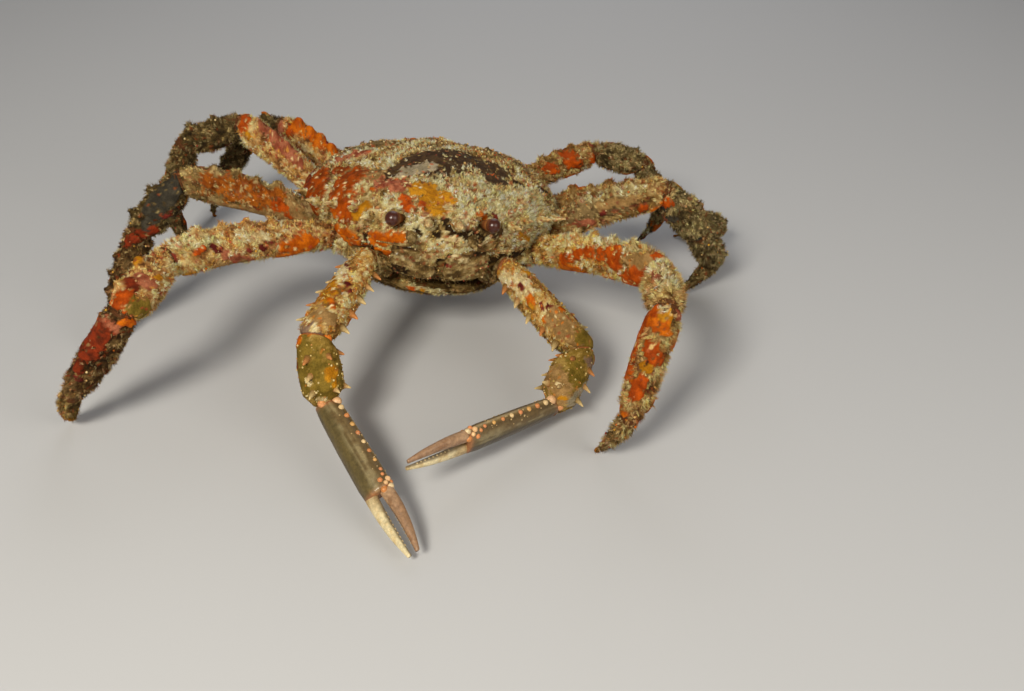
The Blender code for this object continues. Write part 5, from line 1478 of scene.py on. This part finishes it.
def joints_of(limb, letter):
    side = 1 if letter == "l" else -1
    inner, root = (Vector(placed(sided(p, side))) for p in SOCKETS[limb])
    points = [inner, root]
    for (heading, climb), length in zip(POSE[f"{limb}_{letter}"], LENGTHS[limb]):
        if climb is None:
            climb = -math.degrees(math.asin(points[-1].z / length))
        points.append(points[-1] + turned_way(heading, climb) * length)
    return points, [(b - a).normalized() for a, b in zip(points[:-1], points[1:])]


def leg_segments(limb, letter):
    points, ways = joints_of(limb, letter)
    k = THICKNESS[limb]
    joints = [(w * k, h * k) for w, h in LEG_JOINTS[:-1]] + [LEG_JOINTS[-1]]
    normals = [ways[0]] + [(a + b).normalized() for a, b in zip(ways[:-1], ways[1:])] + [Vector((0, 0, -1))]
    across = ways[1].cross(Vector((0, 0, 1))).normalized()
    coxa = (COXA_HALF * k, COXA_HALF * k)
    halves = [coxa] + [tuple(v * k for v in LEG_HALF[kind]) for kind in LEG_KINDS[1:]]
    ends = [(coxa, joints[0])] + list(zip(joints[:-1], joints[1:]))
    made = []
    for i, kind in enumerate(LEG_KINDS):
        segment = Segment(kind, points[i], points[i + 1], (normals[i], normals[i + 1]), across,
                          halves[i], ends[i], LEG_BOWS.get(kind, 0.0))
        if segment.tall.z < 0 and kind != "dactyl":
            segment.across.negate()
            segment.tall.negate()
        across = segment.across
        made.append(segment)
    return made


def arm_segments(letter):
    points, ways = joints_of("claw", letter)
    hand_up = Vector(HAND_UP[f"claw_{letter}"])
    normals = [ways[0]] + [(a + b).normalized() for a, b in zip(ways[:3], ways[1:4])] + [ways[3]]
    hand_across = hand_up.cross(ways[3]).normalized()
    across = ways[1].cross(Vector((0, 0, 1))).normalized()
    coxa = (COXA_HALF, COXA_HALF)
    halves = (coxa, ARM_HALF["merus"], ARM_HALF["carpus"], ARM_HALF["palm"])
    ends = [(coxa, ARM_JOINTS[0])] + list(zip(ARM_JOINTS[:-1], ARM_JOINTS[1:]))
    made = []
    for i, kind in enumerate(ARM_KINDS):
        side_way = hand_across if kind in ("carpus", "palm") else across
        made.append(Segment(kind, points[i], points[i + 1], (normals[i], normals[i + 1]), side_way,
                            halves[i], ends[i]))
    return made, points[-1]


def joint_skin(mould, before, after, tone):
    """The soft wrinkled skin between two limb pieces."""
    wide, tall = (0.86 * v for v in before.ends[1])
    axis = (before.axis + after.axis).normalized()
    w = (before.across - axis * before.across.dot(axis)).normalized()
    h = axis.cross(w)
    angle = round_angles(40)
    section = np.cos(angle)[:, None] * np.array(w) * wide + np.sin(angle)[:, None] * np.array(h) * tall
    rings = []
    for d in np.linspace(-JOINT_REACH, JOINT_REACH, 15):
        fold = 1 + 0.035 * math.cos(d / JOINT_REACH * 3 * math.pi) - JOINT_PINCH * d * d
        rings.append(np.array(before.end) + np.array(axis) * d + section * fold)
    mould.rings(np.stack(rings), tinted(tone, 0.3))


def knuckles(mould, before, tone, radius=0.0017):
    """The pair of rounded hinge knobs at a joint, one on each side."""
    for side in (1, -1):
        spot = before.end - before.axis * 0.0012 + before.across * side * before.ends[1][0] * 0.84
        bead(mould, np.array(spot), np.array(before.across * side), radius, tinted(tone, 0.4), 12)


def stud(mould, segment, place, turn, radius, tone, sink=BEAD_SINK, sides=14):
    """A bead on a limb piece, at a fraction of its length and an angle around it."""
    spot, out = segment.surface(place, turn)
    bead(mould, np.array(spot - out * sink), np.array(out), radius, tone, sides)


def leg_knobs(segment, draw):
    """The rows of blunt knobs along a leg piece: place, way out, height and radius of each."""
    start, span = LEG_KNOB_PLACE
    made = []
    for angle, count, height, radius in LEG_KNOBS.get(segment.kind, ()):
        for k in range(count):
            change = draw.uniform(*LEG_KNOB_CHANGE)
            spot, out = segment.surface(start + span * k / (count - 1), angle)
            way = (out + segment.axis * LEG_KNOB_LEAN).normalized()
            made.append((np.array(spot), np.array(way), height * change, radius * change))
    return made


def make_leg(limb, letter):
    name = f"{limb}_{letter}"
    segments = leg_segments(limb, letter)
    draw = random.Random(f"{LEG_KNOB_SEED} {limb} {letter}")
    mould, skins = Mould(), []
    for segment in segments:
        rows = max(LEAST_RINGS, int(segment.length / LEG_RING_GAP))
        rings = segment.rings(rows, LEG_COLUMNS, flute=0.0 if segment.kind == "coxa" else 0.03)
        rings = raised(rings, leg_knobs(segment, draw))
        if segment.kind == "dactyl":
            rings[..., 2] = np.maximum(rings[..., 2], 0.0)
        skin = Skin(f"{name}_{segment.kind}", rings)
        if segment.kind == "dactyl":
            bare_tip = step(0.80, 0.93, np.linspace(0, 1, len(rings)))[:, None]
            horn = tinted(DACTYL_TIP_TONE, 0.5)
            skin.colours = skin.colours + (horn - skin.colours) * bare_tip[..., None]
            skin.fuzz = skin.fuzz * (1 - bare_tip)
            skin.points[..., 2] = np.maximum(skin.points[..., 2], 0.0)
        mould.skin(skin)
        skins.append(skin)
        if segment.kind != "coxa":
            freckle(mould, skin, int(segment.length / LEG_GRAIN_GAP), LEG_GRAIN_TONES)
    for before, after in zip(segments[:-1], segments[1:]):
        joint_skin(mould, before, after, LEG_JOINT_TONE)
    mould.piece(f"{name}_shell", overgrown_shell, "leg", *(f"{name}_{s.kind}" for s in segments))
    coat(f"{name}_turf", skins, "leg")


def thorn_rows(mould, segment, rows, place, radius, draw):
    """Rows of thorns along an arm piece: the angle, number and length of each row."""
    start, span = place
    bend = np.array(segment.axis) * THORN_BEND
    for angle, count, length in rows:
        for k in range(count):
            spot, out = segment.surface(start + span * k / (count - 1), angle + draw.uniform(-6, 6))
            spot = spot - out * THORN_SINK
            base = tinted(THORN_ROOT_TONES[k % 2])
            tip = tinted(THORN_TIP_TONES[min(k % 3, 1)], 0.4)
            thorn(mould, np.array(spot), np.array(out + segment.axis * THORN_LEAN),
                  length + THORN_SINK, radius * draw.uniform(0.85, 1.15), base, tip, bend)


def hand_tones(rings, segment):
    """Smooth grey-olive shell: a pale line along the ridge, partly painted sheen, a darker band beside it, a
    greenish edge, and a band of painted sheen further round.
    """
    rows, columns = rings.shape[:2]
    angle = round_angles(columns)[None, :, None]
    t = np.linspace(0, 1, rows)[:, None, None]
    cloud = layered(rings, 0.006, 5)[..., None]
    local = np.stack([rings @ np.array(segment.across), rings @ np.array(segment.tall),
                      rings @ np.array(segment.axis) * 0.12], axis=-1)
    streak = grain(local, 0.0012, 8)[..., None]
    middle, dark, pale, blush, green, sheen_belt_tone = (linear(tone) for tone in HAND_TONES.values())
    from_ridge = abs(angle - math.pi / 2)
    # The pale line along the ridge: the ridge's own paler tone, with painted sheen on it.
    tone = middle + (pale - middle) * np.exp(-(from_ridge / 0.22) ** 2) * 0.8
    tone = tone + (dark - tone) * np.exp(-((from_ridge - 0.55) / 0.28) ** 2) * (0.35 + 0.3 * cloud)
    tone = tone + (green - tone) * step(1.1, 1.7, from_ridge + 0.2 * cloud) * 0.7
    tone = tone + (dark - tone) * step(2.2, 2.9, from_ridge) * 0.8
    tone = tone + (blush - tone) * (step(0.09, 0.0, t) + step(0.92, 1.0, t)) * 0.7
    # A band of painted sheen part way round from the ridge.
    sheen_belt = step(0.75, 1.05, from_ridge) * step(1.75, 1.35, from_ridge)
    tone = tone + (sheen_belt_tone - tone) * sheen_belt * step(-0.2, 0.5, streak + cloud) * 0.48
    tone = tone * (1 + 0.22 * streak + 0.14 * cloud)
    bare = np.clip(0.8 + 0.2 * cloud, 0, 1)
    return np.concatenate([np.clip(np.broadcast_to(tone, (rows, columns, 3)), 0, 1), bare], axis=-1)


def finger(palm, tips, up, sink):
    """The slim finger in the upper or lower half of the hand's end."""
    root = palm.end + palm.tall * FINGER_SPREAD * up - palm.axis * sink
    tip = tips + palm.tall * FINGER_TIP_SPREAD * up
    return Segment("finger", root, tip, (palm.axis, (tip - root).normalized()), palm.across, FINGER_HALF,
                   (FINGER_HALF, FINGER_TIP_HALF), FINGER_BOW * up)


def make_finger(mould, segment, up, tones):
    """The finger's skin and the row of low teeth along its biting edge."""
    base, tip, mottle = (linear(tone) for tone in tones)
    rings = segment.rings(46, 32, lip=0.0006)
    t = np.linspace(0, 1, len(rings))[:, None, None]
    cloud = layered(rings, 0.004, 3)[..., None]
    tone = base + (tip - base) * step(0.10, 0.45, t + 0.15 * cloud)
    tone = tone + (mottle - tone) * step(0.15, 0.55, layered(rings, 0.0035, 12)[..., None]) * 0.6
    tone = tone * (1 + 0.22 * layered(rings, 0.0012, 16)[..., None])
    edge = np.sin(round_angles(32))[None, :, None] * -up
    tone = tone + (linear(BITING_EDGE_TONE) - tone) * step(0.50, 0.95, edge) * step(0.1, 0.4, t) * 0.7
    bare = np.full(tone.shape[:2] + (1,), 0.75)
    mould.rings(rings, np.concatenate([np.clip(tone, 0, 1), bare], axis=-1))
    start, pitch = TOOTH_PLACE
    for k in range(FINGER_TEETH):
        stud(mould, segment, start + pitch * k, -90 * up, TOOTH_RADIUS, tinted(TOOTH_TONE, 0.6), sides=8)


def make_arm(letter):
    name = f"claw_{letter}"
    segments, tips = arm_segments(letter)
    coxa, merus, carpus, palm = segments
    draw = np.random.default_rng(seed_of(name))
    mould, skins = Mould(), []
    for segment in (coxa, merus, carpus):
        rows = max(LEAST_RINGS, int(segment.length / ARM_RING_GAP))
        rings = segment.rings(rows, ARM_COLUMNS, flute=0.025)
        skin = Skin(f"{name}_{segment.kind}", rings, 0.0004 if segment is carpus else 0.0008, 0.8)
        mould.skin(skin)
        if segment is merus:
            freckle(mould, skin, *MERUS_GRAINS)
        if segment is carpus:
            freckle(mould, skin, *CARPUS_GRAINS)
        skins.append(skin)
    thorn_rows(mould, merus, MERUS_THORNS, MERUS_THORN_PLACE, MERUS_THORN_RADIUS, draw)
    thorn_rows(mould, carpus, CARPUS_THORNS, CARPUS_THORN_PLACE, CARPUS_THORN_RADIUS, draw)
    for before, after in zip(segments[:-1], segments[1:]):
        joint_skin(mould, before, after, ARM_JOINT_TONE)
    knuckles(mould, merus, *ELBOW_KNOBS)
    knuckles(mould, carpus, *WRIST_KNOBS)
    mould.piece(f"{name}_arm", overgrown_shell, "leg", *(f"{name}_{kind}" for kind in ARM_KINDS[:3]))
    coat(f"{name}_turf", skins, "leg", 0.75)

    hand = Mould()
    rings = palm.rings(80, 64, lip=0.0009)
    hand.rings(rings, hand_tones(rings, palm))
    start, span = PALM_BEAD_PLACE
    for k in range(PALM_BEADS):
        stud(hand, palm, start + span * k / (PALM_BEADS - 1), 90 + PALM_BEAD_TURN[letter],
             PALM_BEAD_RADIUS * (1.15 - 0.05 * k), tinted(PALM_BEAD_TONES[k % 4], 0.5))
    for _ in range(PALM_GRAINS):
        place, turn, radius = draw.uniform(0.06, 0.9), draw.uniform(30, 150), draw.uniform(*PALM_GRAIN_RADII)
        stud(hand, palm, place, turn, radius, tinted(PALM_GRAIN_TONE, 0.6), 0.0, 8)
    turn_way = 1 if letter == "r" else -1
    for k, (place, turn, radius) in enumerate(HINGE_KNOBS):
        stud(hand, palm, place, 90 + turn * turn_way, radius, tinted(HINGE_KNOB_TONES[k % 2], 0.6))
    stud(hand, palm, *WRIST_KNOB, tinted(WRIST_KNOB_TONE, 0.6), WRIST_KNOB_SINK, 16)
    make_finger(hand, finger(palm, tips, -1, FIXED_FINGER_SINK), -1, FIXED_FINGER_TONES)
    hand.piece(f"{name}_hand", bare_hand_shell, "hand", f"{name}_palm")

    moving = Mould()
    upper = finger(palm, tips, 1, -MOVING_FINGER_GAP)
    make_finger(moving, upper, 1, MOVING_FINGER_TONES)
    side_tone, top_tone = tinted(FINGER_SIDE_KNOB_TONE, 0.7), tinted(FINGER_TOP_KNOB_TONE, 0.7)
    for side in (1, -1):
        spot = upper.start + palm.axis * 0.0004 + palm.across * side * FINGER_HALF[0] * 0.8
        bead(moving, np.array(spot), np.array(palm.across * side), FINGER_KNOB_RADIUS, side_tone, 14)
    spot = upper.start + palm.tall * FINGER_HALF[1] * 0.8
    bead(moving, np.array(spot), np.array(palm.tall), FINGER_KNOB_RADIUS, top_tone, 14)
    moving.piece(f"{name}_finger", bare_hand_shell, "hand", f"{name}_dactyl")


def make_floor():
    mesh = bpy.data.meshes.new("floor")
    ways = ((-1, -1), (1, -1), (1, 1), (-1, 1))
    corners = [(x * FLOOR_REACH, y * FLOOR_REACH, FLOOR_HEIGHT) for x, y in ways]
    mesh.from_pydata(corners, [], [(0, 1, 2, 3)])
    floor = bpy.data.objects.new("floor", mesh)
    bpy.context.scene.collection.objects.link(floor)
    paint = bpy.data.materials.new("pale_floor")
    paint.use_nodes = True
    shader = paint.node_tree.nodes["Principled BSDF"]
    shader.inputs["Base Color"].default_value = FLOOR_TONE
    shader.inputs["Roughness"].default_value = FLOOR_ROUGHNESS
    mesh.materials.append(paint)


def lamp(name, spot, size, power, tone):
    """A soft square lamp aimed at the crab."""
    light = bpy.data.lights.new(name, "AREA")
    light.size, light.energy, light.color = size, power, tone
    made = bpy.data.objects.new(name, light)
    made.location = spot
    made.rotation_euler = (LAMP_AIM - Vector(spot)).to_track_quat("-Z", "Y").to_euler()
    bpy.context.scene.collection.objects.link(made)


def make_studio():
    right, up, forward = camera_axes()
    view = Matrix((right, up, -forward)).transposed().to_4x4()
    view.translation = CAMERA_AT
    data = bpy.data.cameras.new("photo_camera")
    data.lens, data.sensor_width = LENS_MM, SENSOR_MM
    data.clip_start = 0.01
    camera = bpy.data.objects.new("photo_camera", data)
    camera.matrix_world = view
    bpy.context.scene.collection.objects.link(camera)
    bpy.context.scene.camera = camera
    for row in LAMPS:
        lamp(*row)
    world = bpy.data.worlds.new("studio")
    world.use_nodes = True
    sky = world.node_tree.nodes["Background"]
    sky.inputs["Color"].default_value = ROOM_TONE
    sky.inputs["Strength"].default_value = ROOM_LIGHT
    bpy.context.scene.world = world
    bpy.context.scene.view_settings.view_transform = "Standard"


make_studio()
make_floor()
make_carapace()
under_skins = [make_thorax(), make_abdomen(), make_mouth_plate(1, "l"), make_mouth_plate(-1, "r")]
coat("underside_turf", under_skins, "underside", 0.7, 0.75)
for side, letter in ((1, "l"), (-1, "r")):
    make_eye(side, letter)
    make_antenna(side, letter)
    make_arm(letter)
    for limb in ("leg1", "leg2", "leg3", "leg4"):
        make_leg(limb, letter)
